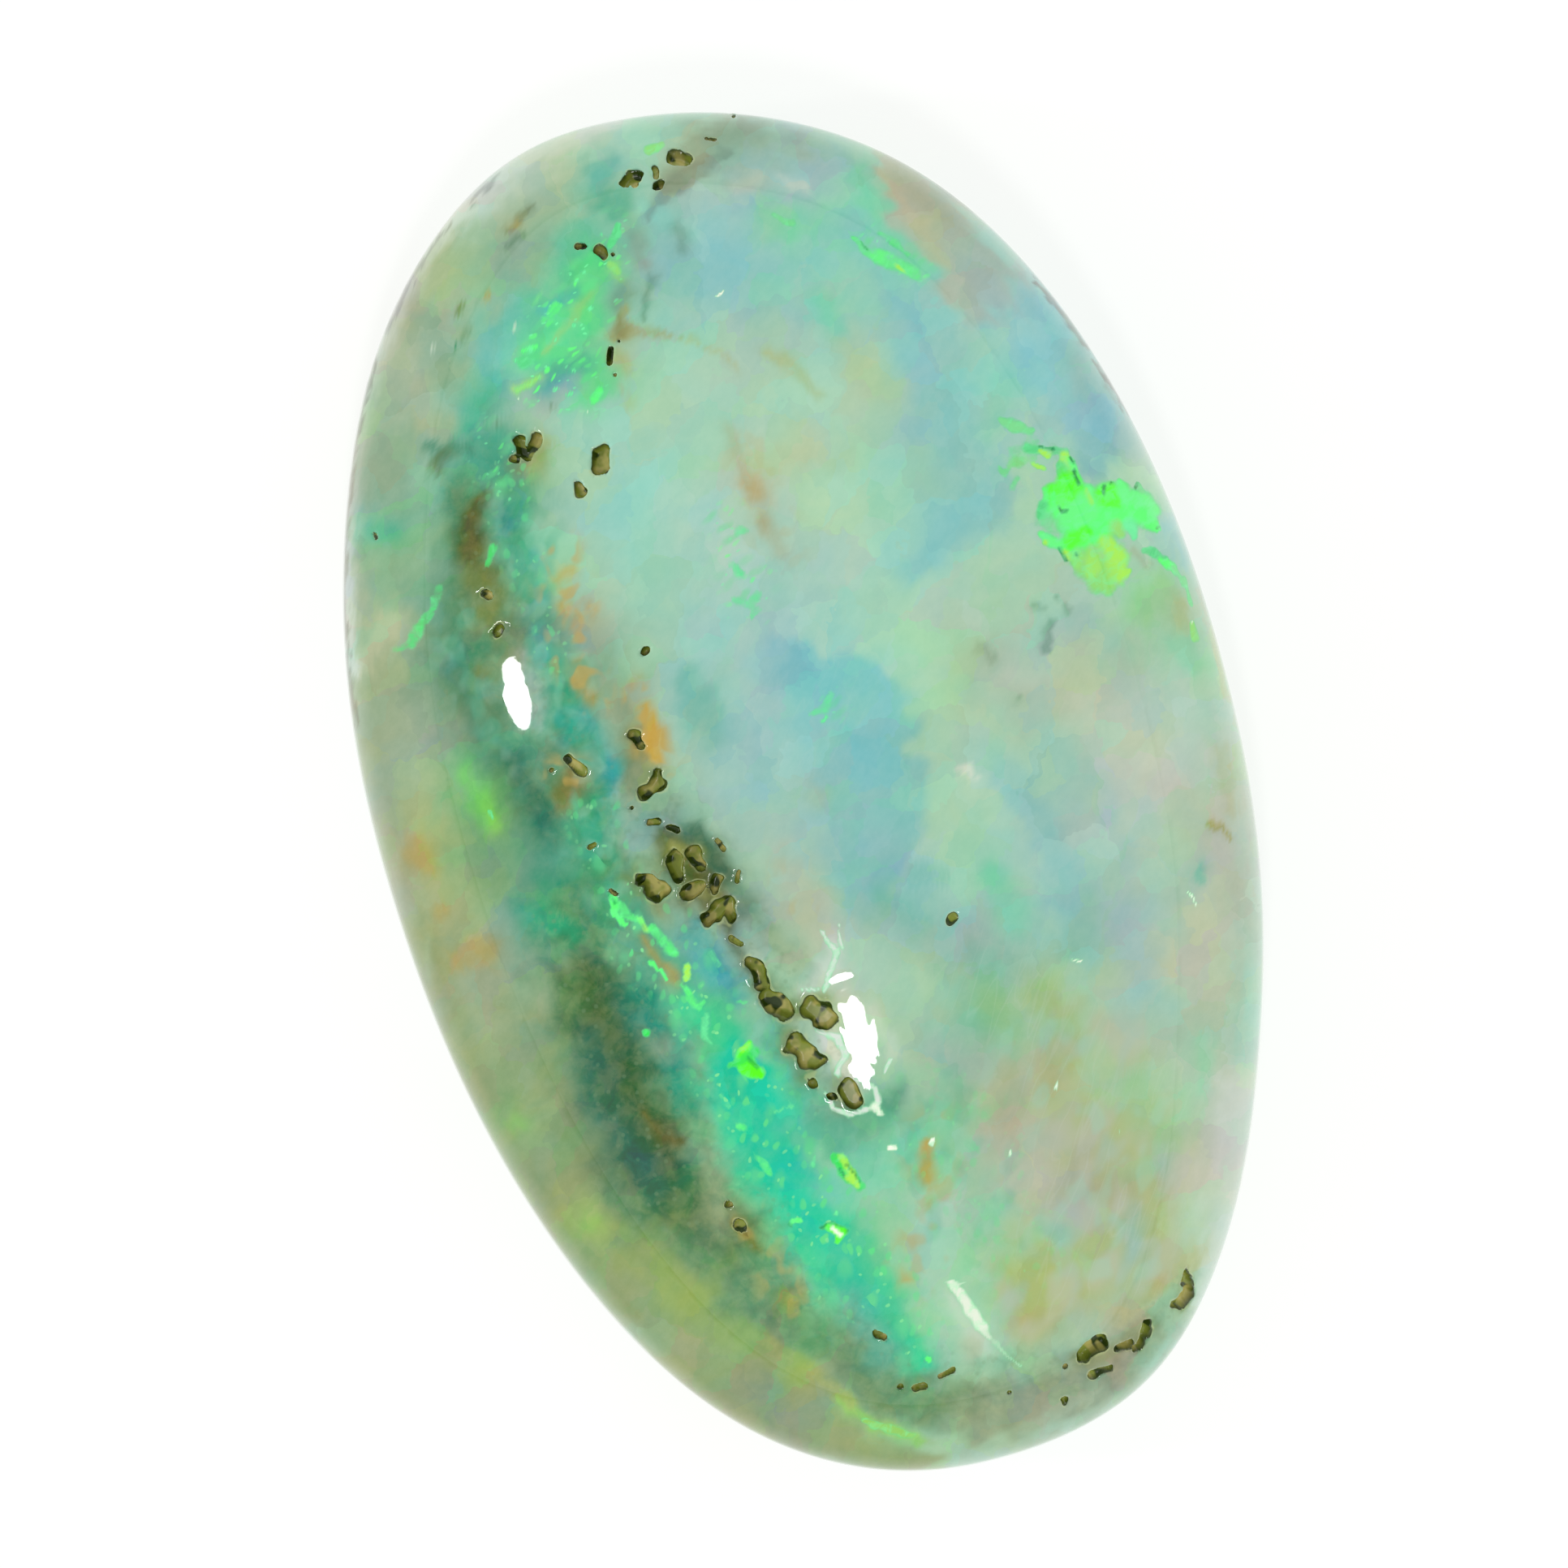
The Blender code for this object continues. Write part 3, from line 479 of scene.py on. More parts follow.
    ("dusk", 0.9, 0.6, [(-4.2, 1.0, 0.4), (-3.95, 0.1, 0.5), (-3.6, -0.7, 0.4)]),
    ("grey_green", 0.9, 0.5, [(-4.6, 0.6, 0.4), (-4.4, -0.6, 0.4)]),
    ("seam_green", 0.8, 0.4, [(-4.2, -0.7, 0.2), (-3.9, -0.9, 0.15)]),
    ("dusk", 0.9, 0.6, [(-4.25, 3.4, 0.35), (-4.2, 2.4, 0.35)]),
    ("olive_dark", 0.6, 0.75, [(-3.33, 5.25, 0.08), (-3.5, 4.95, 0.2), (-3.75, 4.5, 0.2), (-3.6, 4.2, 0.12)]),
    ("olive_dark", 0.7, 0.5, [(-3.7, 6.05, 0.08), (-3.85, 5.75, 0.08)]),
    ("deep_teal", 0.8, 0.6, [(-3.2, 3.4, 0.2), (-3.05, 2.6, 0.25), (-3.1, 1.9, 0.2)]),
    ("dusk", 0.8, 0.6, [(-3.0, 2.3, 0.2), (-3.35, 1.6, 0.3), (-3.3, 0.9, 0.25)]),
    ("seam_green", 0.8, 0.5, [(-3.05, 2.9, 0.1), (-3.0, 2.0, 0.12), (-2.95, 1.6, 0.08)]),
    ("seam_blue", 0.8, 0.5, [(-3.1, 3.2, 0.14), (-2.65, 1.0, 0.14)]),
    ("olive", 0.8, 0.6, [(-3.65, 4.0, 0.25), (-3.6, 3.5, 0.25), (-3.5, 3.1, 0.2)]),
    ("aqua", 0.9, 0.6, [(-1.0, 4.6, 0.5), (-1.1, 3.6, 0.5)]),
    ("sage", 0.9, 0.5, [(-5.2, 2.4, 0.3), (-5.4, 1.4, 0.3)]),
    ("emerald", 0.9, 0.75, [(-3.0, 2.7, 0.14), (-2.95, 2.0, 0.2), (-2.95, 1.5, 0.16)]),
    ("emerald", 0.9, 0.8, [(-2.85, 0.8, 0.22), (-3.05, 0.2, 0.3), (-3.1, -0.5, 0.3)]),
    ("emerald", 0.9, 0.6, [(-4.2, -0.7, 0.25), (-3.9, -0.3, 0.2)]),
    ("emerald", 0.9, 0.5, [(-3.1, 5.9, 0.25), (-2.95, 5.3, 0.25), (-3.0, 4.5, 0.2)]),
    ("seam_blue", 0.8, 0.5, [(-2.6, 1.1, 0.1), (-2.65, 0.8, 0.1)]),
    ("band_green", 0.9, 0.5, [(-3.6, 5.1, 0.15), (-3.7, 4.4, 0.2), (-3.75, 3.9, 0.12)]),
    ("band_green", 1.2, 0.22, [(-4.6, 3.4, 0.2), (-4.5, 2.6, 0.3), (-4.45, 1.8, 0.2)]),
    ("sage_warm", 1.2, 0.35, [(-5.25, -1.4, 0.25), (-5.05, -3.2, 0.35), (-4.75, -4.8, 0.25)]),
    # the greyer right flank, and straw at the foot
    ("tan", 1.2, 0.35, [(4.95, -4.0, 0.35), (4.45, -5.6, 0.45), (3.8, -6.9, 0.3)]),
    ("straw", 1.1, 0.3, [(1.2, -7.4, 0.3), (2.1, -7.9, 0.35)]),
    # painted sheen where the lamps are mirrored, under and beside their reflections
    ("lamp_sheen", 1.2, 0.7, [(-0.35, -2.0, 0.15), (-0.45, -2.45, 0.28), (-0.3, -2.95, 0.2)]),
    ("lamp_sheen", 1.2, 0.6, [(-0.72, -3.45, 0.14), (-0.68, -3.95, 0.16)]),
    ("lamp_sheen", 1.1, 0.4, [(-3.45, 3.0, 0.08), (-3.36, 2.4, 0.14), (-3.45, 1.9, 0.06)]),
    # the brown-olive ground between the grains of the seam's cavity
    ("band_brown", 0.8, 0.75, [(-2.1, -0.45, 0.2), (-1.88, -0.85, 0.28), (-1.7, -1.25, 0.14)]),
    # olive grains round the pits of the seam
    ("olive_dark", 0.7, 0.85, [
        (-2.15, -0.15, 0.16), (-1.95, -0.6, 0.34), (-1.8, -1.05, 0.28), (-1.65, -1.4, 0.2)]),
    ("dark_teal", 0.7, 0.8, [(-1.75, -0.2, 0.12), (-1.62, -0.5, 0.14), (-1.5, -0.9, 0.1)]),
    ("ochre_deep", 0.6, 0.6, [(-2.1, -0.3, 0.08), (-1.8, -0.55, 0.12)]),
    ("ochre_deep", 0.6, 0.5, [(-1.95, -1.0, 0.08), (-1.7, -1.1, 0.1)]),
    ("olive", 0.8, 0.6, [(-2.75, -0.5, 0.2), (-2.45, -0.95, 0.16)]),
    ("olive_dark", 0.7, 0.6, [(-1.7, -1.7, 0.12), (-1.5, -2.3, 0.16), (-1.2, -2.9, 0.2)]),
    ("olive", 0.7, 0.7, [(-1.3, -3.3, 0.16), (-1.15, -3.9, 0.2)]),
    ("olive", 0.7, 0.7, [(-1.0, -2.95, 0.14), (-0.7, -2.9, 0.2)]),
    ("olive_dark", 0.7, 0.6, [(-0.75, -4.1, 0.16), (-0.75, -4.45, 0.16)]),
    ("olive", 0.8, 0.6, [(-2.3, 0.75, 0.2), (-2.2, 1.4, 0.14)]),
    ("olive", 0.7, 0.5, [(-2.75, 5.55, 0.14), (-2.4, 5.6, 0.12)]),
    ("ochre_deep", 0.8, 0.6, [(-2.5, 5.45, 0.18), (-2.25, 5.75, 0.14)]),
    ("olive", 0.7, 0.6, [(1.5, -8.95, 0.16), (2.0, -8.9, 0.14), (2.5, -8.7, 0.14)]),
    ("olive", 0.7, 0.6, [(3.2, -8.2, 0.12), (3.05, -8.6, 0.14)]),
    # the ochre and grey stone at the right of the foot
    ("straw", 0.9, 0.85, [(1.5, -5.3, 0.5), (2.3, -6.0, 0.8), (2.3, -7.0, 0.8), (1.4, -7.7, 0.55)]),
    ("fern", 0.9, 0.7, [(3.3, -5.4, 0.35), (3.5, -6.2, 0.3)]),
    ("fern", 0.9, 0.6, [(2.3, -3.7, 0.35), (2.4, -4.3, 0.3)]),
    ("stone_grey", 0.9, 0.6, [(0.5, -9.5, 0.25), (1.3, -9.5, 0.2), (2.0, -9.3, 0.2)]),
    # painted shade, darker towards the foot's edge
    ("shade_grey", 0.9, 0.25, [(1.0, -9.25, 0.3), (2.0, -9.1, 0.2)]),
    ("ochre", 0.8, 0.85, [(0.85, -8.1, 0.3), (1.2, -7.6, 0.42), (1.9, -7.6, 0.4), (2.8, -7.5, 0.35)]),
    ("ochre_deep", 0.8, 0.5, [(0.85, -8.1, 0.2), (1.0, -7.8, 0.25)]),
    ("orange", 0.9, 0.4, [(0.8, -8.1, 0.16)]),
    ("orange", 0.8, 0.4, [(2.75, -8.12, 0.15), (2.95, -8.05, 0.12)]),
    ("pink_grey", 0.8, 0.7, [(1.35, -6.3, 0.3), (1.9, -6.0, 0.45), (2.2, -5.4, 0.4)]),
    ("mauve", 0.8, 0.6, [(1.8, -6.85, 0.22), (2.0, -6.75, 0.2)]),
    ("slate_grey", 0.8, 0.7, [(1.75, -7.0, 0.2), (1.7, -7.15, 0.15)]),
    ("slate_grey", 0.8, 0.6, [(2.35, -7.75, 0.25), (2.7, -7.2, 0.2)]),
    ("olive_beige", 0.8, 0.6, [(2.2, -6.6, 0.2), (2.6, -6.7, 0.25), (2.9, -6.9, 0.2)]),
    ("teal_pale", 0.8, 0.4, [(3.3, -6.6, 0.2)]),
    # painted reflection: a pale band along the edge of the foot
    ("rim", 0.9, 0.6, [(3.4, -8.6, 0.2), (4.1, -7.3, 0.3), (4.7, -5.9, 0.3)]),
    ("lilac", 0.9, 0.35, [(3.7, -1.8, 0.5), (3.8, -3.0, 0.6), (3.6, -4.0, 0.4)]),
    ("pink_grey", 0.9, 0.5, [(5.0, -1.6, 0.4), (5.2, -2.6, 0.4)]),
    ("mauve", 0.9, 0.4, [(1.2, -2.5, 0.3), (1.9, -2.6, 0.3)]),
    ("fern", 0.9, 0.5, [(1.5, -3.6, 0.25), (1.7, -4.2, 0.2)]),
    ("mauve", 0.9, 0.4, [(1.2, -4.5, 0.25), (0.7, -4.2, 0.25)]),
    ("olive_beige", 0.8, 0.5, [(2.3, -4.6, 0.2), (2.6, -4.4, 0.15), (2.1, -5.1, 0.15)]),
    ("mint", 0.9, 0.6, [(2.2, -2.1, 0.2), (2.1, -2.6, 0.2)]),
    # painted highlight: the milky streak at the foot
    ("rim", 0.9, 0.5, [(-0.05, -7.5, 0.1), (0.1, -8.0, 0.12), (0.3, -8.4, 0.08)]),
    # painted reflection: the milky gloss round the main highlight
    ("rim", 0.7, 0.7, [(-0.85, -2.75, 0.08), (-0.5, -2.6, 0.14), (-0.35, -2.2, 0.1)]),
    ("rim", 0.7, 0.8, [(-0.75, -3.45, 0.1), (-0.65, -3.85, 0.12), (-0.55, -4.1, 0.1)]),
    ("rim", 0.8, 0.5, [(0.0, -3.3, 0.1), (0.1, -3.9, 0.1)]),
    # the stone beside it
    ("pink_grey", 0.8, 0.6, [(-0.75, -1.5, 0.3), (-0.45, -1.1, 0.25)]),
    ("stone_grey", 0.7, 0.5, [(-0.9, -2.3, 0.2), (-1.1, -1.9, 0.2)]),
    # stains and smudges
    ("ochre", 0.8, 0.5, [(1.1, 6.15, 0.06), (1.45, 5.75, 0.07), (1.65, 5.3, 0.05)]),
    ("orange", 0.9, 0.5, [(0.4, 4.3, 0.14)]),
    ("rust", 0.8, 0.5, [(0.35, 3.75, 0.1)]),
    ("rust", 0.8, 0.3, [(0.5, 3.3, 0.12), (0.25, 5.2, 0.08)]),
    ("orange", 0.6, 1.0, [(-1.92, 1.7, 0.11), (-1.98, 1.2, 0.15), (-2.0, 1.0, 0.1)]),
    ("rust", 0.8, 0.6, [(-2.0, 2.1, 0.1)]),
    ("orange", 0.7, 0.7, [(-2.65, 3.4, 0.1), (-2.55, 3.1, 0.08)]),
    ("orange", 0.7, 0.6, [(-2.6, 3.8, 0.08), (-2.4, 3.82, 0.12)]),
    ("orange", 0.7, 0.5, [(-2.28, 3.3, 0.1)]),
    ("rust", 0.7, 0.8, [(-2.75, 2.55, 0.15), (-2.65, 2.1, 0.1)]),
    ("rust", 0.8, 0.7, [(-5.65, 0.75, 0.2), (-5.55, 0.45, 0.2)]),
    ("rust", 0.6, 0.7, [(-5.6, -1.0, 0.14), (-5.1, -0.95, 0.2)]),
    ("rust", 0.8, 0.6, [(-5.55, -0.2, 0.15)]),
    ("tan_edge", 0.8, 0.7, [(-5.1, 3.9, 0.25), (-5.8, 3.4, 0.12)]),
    ("green_glow", 0.9, 0.6, [(-4.7, 1.5, 0.14), (-4.6, 1.1, 0.18), (-4.45, 0.75, 0.14)]),
    ("green_glow", 0.8, 0.6, [(-4.55, 1.15, 0.12), (-4.45, 0.9, 0.1)]),
    ("green_glow", 0.9, 0.35, [(-4.7, -5.1, 0.15)]),
    ("green_glow", 0.9, 0.35, [(-5.35, -3.5, 0.14)]),
    ("olive_dark", 0.7, 1.0, [(-3.45, 5.15, 0.1), (-3.6, 4.85, 0.2), (-3.75, 4.5, 0.14)]),
    ("olive", 0.8, 0.8, [(-3.8, 4.2, 0.2), (-3.6, 3.7, 0.25)]),
    ("olive", 0.8, 0.7, [(-4.0, 2.8, 0.12)]),
    ("deep_teal", 0.7, 0.7, [(-3.2, 5.0, 0.12), (-3.1, 4.7, 0.1)]),
    ("brown", 0.8, 0.8, [(-3.15, 1.1, 0.15), (-3.4, 0.8, 0.15)]),
    ("dark_teal", 0.8, 0.6, [(-3.9, 1.5, 0.2), (-3.7, 0.6, 0.15)]),
    ("orange", 0.7, 0.9, [(0.1, -5.8, 0.14), (0.15, -5.5, 0.09), (0.3, -5.35, 0.06)]),
    ("rust", 0.7, 0.6, [(-0.02, -6.2, 0.05)]),
    ("orange", 0.8, 0.7, [(-0.6, -7.02, 0.11)]),
    ("orange", 0.8, 0.4, [(-0.45, -6.6, 0.12)]),
    ("rust", 0.8, 0.6, [(-2.3, -6.85, 0.14)]),
    ("band_brown", 0.8, 0.8, [(-3.55, -3.8, 0.06), (-3.4, -4.2, 0.1), (-3.05, -4.3, 0.08)]),
    ("rust", 0.8, 0.7, [(-2.6, -2.05, 0.1), (-2.85, -1.35, 0.07)]),
    ("brown", 0.7, 0.7, [(-2.65, -5.7, 0.1), (-2.55, -6.1, 0.08)]),
    ("ochre_deep", 0.6, 0.9, [(5.35, -2.1, 0.07), (5.5, -2.2, 0.06), (5.6, -2.35, 0.03)]),
    ("teal_pale", 0.7, 0.8, [(4.95, -2.75, 0.1), (5.05, -2.65, 0.08)]),
    ("cream_spot", 0.4, 0.8, [(2.12, -0.3, 0.08), (2.28, -0.48, 0.09)]),
    ("deep_teal", 0.7, 0.6, [(-0.1, -4.6, 0.14), (0.1, -4.45, 0.1)]),
    # the pale edge: a painted reflection of the pale room along the rim
    ("rim", 0.8, 0.7, [(-4.6, 7.4, 0.16), (-3.2, 8.95, 0.2), (-1.6, 9.75, 0.18), (0.0, 9.95, 0.12)]),
    ("rim", 0.8, 0.6, [(-5.85, 3.4, 0.08), (-5.2, 6.1, 0.14), (-4.6, 7.4, 0.16)]),
    # thin dark lines of painted shade along the rim's edge
    ("rim_edge_shade", 0.5, 0.9, [
        (-6.0, 2.6, 0.03), (-5.93, 3.4, 0.04), (-5.74, 4.3, 0.05), (-5.52, 5.0, 0.05), (-5.33, 5.5, 0.06),
        (-5.13, 6.0, 0.05), (-4.92, 6.5, 0.04), (-4.66, 7.0, 0.04), (-4.3, 7.6, 0.03)]),
    ("shade_grey", 0.5, 0.6, [(-4.0, 7.95, 0.03), (-3.6, 8.43, 0.04), (-3.1, 8.9, 0.04), (-2.7, 9.18, 0.03)]),
    ("shade_grey", 0.5, 0.5, [(-2.4, 9.36, 0.03), (-2.1, 9.54, 0.04), (-1.8, 9.68, 0.03)]),
    ("shade_grey", 0.5, 0.8, [(5.1, 6.1, 0.03), (5.35, 5.5, 0.05), (5.54, 5.0, 0.05)]),
    ("shade_grey", 0.5, 0.8, [(5.62, 4.7, 0.04), (5.76, 4.3, 0.05), (5.86, 3.9, 0.03)]),
)

# Flashes of pure colour, from the first laid to the last: ink, strength, middle line with half widths.
FLASHES = (
    # the great flash at the right
    ("glow_pale", 0.8, [(4.03, 4.27, 0.04), (4.15, 4.18, 0.07), (4.25, 4.1, 0.07)]),
    ("glow_pale", 0.7, [(4.2, 4.12, 0.06), (4.35, 4.02, 0.06), (4.44, 4.04, 0.03)]),
    ("glow_pale", 0.6, [(3.83, 3.62, 0.03), (3.86, 3.52, 0.05), (3.95, 3.56, 0.03)]),
    ("glow_pale", 0.55, [(3.92, 3.3, 0.05), (4.03, 3.42, 0.04)]),
    ("glow_yellow", 0.45, [(4.0, 3.62, 0.05), (4.3, 3.62, 0.06)]),
    ("glow_pale", 0.35, [(4.1, 3.75, 0.12), (4.4, 3.85, 0.08)]),
    ("glow", 0.75, [(4.3, 3.78, 0.05), (4.42, 3.72, 0.05)]),
    ("yellow_lime", 0.9, [(4.44, 3.7, 0.03), (4.55, 3.62, 0.05)]),
    ("yellow_lime", 0.9, [(4.31, 3.53, 0.03), (4.44, 3.43, 0.035)]),
    ("glow", 0.6, [(4.66, 3.65, 0.05), (4.8, 3.6, 0.06)]),
    ("yellow_lime", 0.95, [(4.78, 3.53, 0.07), (4.7, 3.4, 0.06), (4.82, 3.3, 0.05)]),
    ("bright", 0.7, [(4.85, 3.45, 0.06), (4.86, 3.15, 0.04)]),
    ("glow", 0.75, [(4.66, 3.42, 0.05), (4.8, 3.12, 0.1)]),
    ("glow_pale", 0.6, [(4.35, 2.75, 0.2), (4.6, 2.75, 0.3), (5.0, 2.6, 0.3), (5.6, 2.5, 0.25)]),
    ("mint_glow", 0.9, [(4.5, 2.9, 0.16), (4.82, 2.85, 0.18), (4.95, 2.95, 0.1)]),
    ("lime", 1.0, [(4.48, 3.08, 0.12), (4.62, 3.03, 0.2), (4.7, 3.12, 0.17)]),
    ("bright", 0.85, [(4.36, 3.15, 0.03), (4.3, 2.9, 0.04)]),
    ("bright", 0.85, [(4.45, 3.05, 0.04), (4.4, 2.75, 0.04)]),
    ("glow", 0.85, [(4.2, 2.82, 0.06), (4.3, 2.95, 0.04)]),
    ("mint_glow", 0.95, [(4.65, 2.65, 0.2), (4.9, 2.65, 0.22), (5.1, 2.6, 0.16)]),
    ("yellow_lime", 0.5, [(4.92, 2.98, 0.03), (4.96, 2.8, 0.04)]),
    ("mint_glow", 0.9, [(4.14, 2.55, 0.04), (4.25, 2.4, 0.08), (4.4, 2.3, 0.07)]),
    ("yellow_lime", 0.9, [(4.15, 2.43, 0.035)]),
    ("bright", 0.95, [(4.48, 2.3, 0.08), (4.6, 2.35, 0.15), (4.85, 2.35, 0.13), (5.1, 2.45, 0.12)]),
    ("lime", 0.9, [(4.55, 2.35, 0.1), (4.75, 2.4, 0.08)]),
    ("yellow_lime", 0.9, [(4.42, 2.22, 0.04), (4.46, 2.12, 0.05)]),
    ("mint_glow", 0.9, [(4.55, 2.12, 0.08), (4.5, 2.02, 0.05)]),
    ("lime", 1.0, [(5.22, 2.88, 0.13), (5.32, 2.72, 0.2), (5.36, 2.52, 0.15)]),
    ("mint_glow", 0.95, [(5.42, 2.98, 0.05), (5.46, 2.8, 0.09), (5.5, 2.6, 0.1)]),
    ("bright", 0.95, [(5.1, 2.62, 0.08), (5.3, 2.5, 0.12), (5.6, 2.5, 0.14)]),
    ("mint_glow", 0.95, [(5.6, 2.7, 0.08), (5.72, 2.6, 0.1), (5.8, 2.45, 0.08)]),
    ("bright", 0.9, [(5.62, 2.4, 0.1), (5.7, 2.3, 0.1), (5.78, 2.18, 0.05)]),
    ("glow_pale", 0.8, [(5.68, 2.88, 0.02), (5.72, 2.75, 0.03)]),
    ("mint_flash", 0.8, [(5.4, 2.35, 0.09), (5.42, 2.18, 0.05)]),
    ("glow_yellow", 0.8, [(5.2, 2.35, 0.1), (5.24, 2.25, 0.05)]),
    ("yellow_lime", 0.85, [(5.0, 2.18, 0.1), (5.08, 1.95, 0.17), (5.02, 1.72, 0.15)]),
    ("yellow_lime", 0.8, [(5.15, 1.68, 0.06), (5.24, 1.72, 0.03)]),
    ("glow_yellow", 0.75, [(4.6, 2.0, 0.16), (4.75, 1.75, 0.2), (4.85, 1.55, 0.1)]),
    ("yellow_lime", 0.5, [(4.8, 2.1, 0.1), (4.7, 1.85, 0.08)]),
    ("glow", 0.8, [(5.5, 1.94, 0.04), (5.62, 1.87, 0.06), (5.75, 1.75, 0.05)]),
    ("bright", 0.9, [(5.7, 1.72, 0.05), (5.82, 1.62, 0.06), (5.86, 1.55, 0.03)]),
    ("glow_pale", 0.8, [(5.85, 1.6, 0.03), (5.94, 1.35, 0.03), (5.97, 1.0, 0.02)]),
    ("glow_yellow", 0.8, [(5.88, 0.75, 0.03), (5.86, 0.55, 0.06)]),
    ("glint", 0.7, [(5.89, 0.77, 0.012)]),
    ("leaf_dark", 0.9, [(4.86, 3.48, 0.02), (4.88, 3.42, 0.025)]),
    ("leaf_dark", 0.8, [(4.84, 3.3, 0.02), (4.85, 3.1, 0.018)]),
    ("leaf_dark", 0.7, [(4.45, 3.78, 0.01), (4.62, 3.68, 0.018)]),
    ("leaf_dark", 0.8, [(4.5, 2.85, 0.015), (4.5, 2.78, 0.02), (4.58, 2.76, 0.015)]),
    ("leaf_dark", 0.8, [(5.18, 2.85, 0.015), (5.22, 2.99, 0.02)]),
    ("leaf_dark", 0.8, [(5.31, 2.98, 0.022)]),
    ("leaf_dark", 0.7, [(5.65, 2.82, 0.015), (5.66, 2.88, 0.015)]),
    ("leaf_dark", 0.8, [(4.35, 2.28, 0.02), (4.38, 2.1, 0.02)]),
    ("leaf_dark", 0.8, [(4.55, 2.13, 0.025)]),
    ("leaf_dark", 0.6, [(5.8, 2.2, 0.02)]),
    # the streak above it
    ("mint_glow", 0.5, [(2.75, 7.35, 0.03), (2.84, 7.15, 0.06), (3.0, 7.02, 0.1)]),
    ("mint_glow", 0.6, [(3.0, 7.0, 0.09), (3.2, 6.85, 0.1), (3.45, 6.6, 0.09)]),
    ("mint_glow", 0.4, [(3.15, 7.28, 0.05), (3.3, 7.1, 0.05), (3.45, 6.9, 0.04)]),
    ("yellow_lime", 0.8, [(3.22, 6.78, 0.025), (3.3, 6.7, 0.02)]),
    ("leaf_dark", 0.5, [(2.84, 7.24, 0.02), (2.9, 7.16, 0.015)]),
    # the painted highlight at the foot, a pale streak
    ("foot_highlight", 0.95, [(0.0, -7.33, 0.045), (0.08, -7.5, 0.06), (0.14, -7.75, 0.075), (0.22, -8.0, 0.07)]),
    ("foot_highlight", 0.7, [(0.24, -8.05, 0.055), (0.3, -8.2, 0.045)]),
    ("foot_highlight", 0.45, [(0.32, -8.25, 0.035), (0.45, -8.5, 0.03), (0.6, -8.75, 0.02)]),
    ("foot_highlight", 0.6, [(-0.08, -7.28, 0.02), (0.05, -7.33, 0.02), (0.24, -7.4, 0.012)]),
    # a fleck in the blue at the top
    ("glow_pale", 0.6, [(1.75, 7.95, 0.04), (1.95, 7.8, 0.05)]),
    # the upper left
    ("leaf", 0.42, [(-5.15, 3.5, 0.04), (-4.9, 3.52, 0.07), (-4.75, 3.7, 0.09)]),
    ("leaf", 0.5, [(-4.72, 3.72, 0.06), (-4.5, 3.88, 0.06)]),
    ("leaf", 0.35, [(-4.45, 3.95, 0.05), (-4.3, 4.15, 0.07)]),
    ("bright", 0.5, [(-1.83, 7.44, 0.04), (-1.6, 7.5, 0.05), (-1.5, 7.56, 0.03)]),
    ("bright", 0.5, [(-1.8, 7.34, 0.03), (-1.68, 7.38, 0.035)]),
    ("bright", 0.5, [(-1.68, 7.55, 0.03), (-1.56, 7.6, 0.03)]),
    ("glow", 0.7, [(-2.35, 6.98, 0.04), (-2.25, 6.92, 0.08), (-2.05, 6.95, 0.07)]),
    ("bright", 0.7, [(-2.2, 7.08, 0.03), (-2.0, 7.1, 0.03)]),
    ("mint_flash", 0.9, [(-2.36, 6.99, 0.025)]),
    ("mint_flash", 0.9, [(-2.1, 7.07, 0.03)]),
    ("mint_flash", 0.9, [(-1.72, 7.1, 0.028)]),
    ("mint_flash", 0.9, [(-1.41, 7.24, 0.025)]),
    ("mint_flash", 0.8, [(-1.38, 6.86, 0.02)]),
    ("mint_flash", 0.8, [(-1.14, 7.38, 0.03), (-1.1, 7.41, 0.02)]),
    ("mint_flash", 0.8, [(-1.08, 7.92, 0.03)]),
    ("mint_flash", 0.8, [(-1.2, 7.82, 0.022)]),
    ("glow_yellow", 0.8, [(-2.45, 6.56, 0.03), (-2.3, 6.58, 0.05), (-2.1, 6.66, 0.03)]),
    ("glint", 0.7, [(-2.46, 6.46, 0.016)]),
    ("mint_flash", 0.8, [(-1.96, 6.41, 0.025), (-1.9, 6.42, 0.015)]),
    ("mint_flash", 0.8, [(-1.6, 6.6, 0.03)]),
    ("mint_flash", 0.8, [(-1.78, 6.3, 0.02), (-1.7, 6.32, 0.025)]),
    ("bright", 0.7, [(-1.45, 6.1, 0.05), (-1.33, 6.22, 0.06)]),
    ("glint", 0.7, [(-1.56, 5.99, 0.02)]),
    ("glow", 0.8, [(-0.62, 8.2, 0.04), (-0.5, 8.3, 0.06), (-0.42, 8.44, 0.04)]),
    ("mint_flash", 0.6, [(-0.7, 8.38, 0.025)]),
    ("glow_yellow", 0.7, [(-0.68, 7.92, 0.05), (-0.6, 7.8, 0.05)]),
    ("glow_yellow", 0.7, [(0.28, 9.36, 0.06), (0.48, 9.4, 0.06)]),
    ("leaf", 0.6, [(-3.4, 4.5, 0.06), (-3.55, 4.3, 0.04)]),
    # the seam
    ("bright", 1.0, [(-3.1, -0.75, 0.05), (-3.15, -0.95, 0.04), (-3.05, -1.15, 0.03)]),
    ("bright", 0.6, [(-2.7, -1.3, 0.05), (-2.6, -1.5, 0.08), (-2.5, -1.7, 0.07)]),
    ("yellow_lime", 0.6, [(-2.85, -1.1, 0.04), (-2.78, -1.3, 0.03)]),
    ("bright", 0.5, [(-3.1, -0.75, 0.04), (-3.0, -1.0, 0.07), (-2.85, -1.15, 0.05)]),
    ("leaf_dark", 0.6, [(-3.16, -0.68, 0.025), (-3.08, -0.82, 0.02)]),
    ("yellow_lime", 1.0, [(-2.38, -1.98, 0.05), (-2.42, -2.1, 0.04)]),
    ("bright", 1.0, [(-2.85, -1.75, 0.03), (-2.7, -2.05, 0.02)]),
    ("bright", 0.6, [(-2.5, -2.2, 0.04), (-2.45, -2.42, 0.05), (-2.38, -2.56, 0.04), (-2.26, -2.5, 0.03)]),
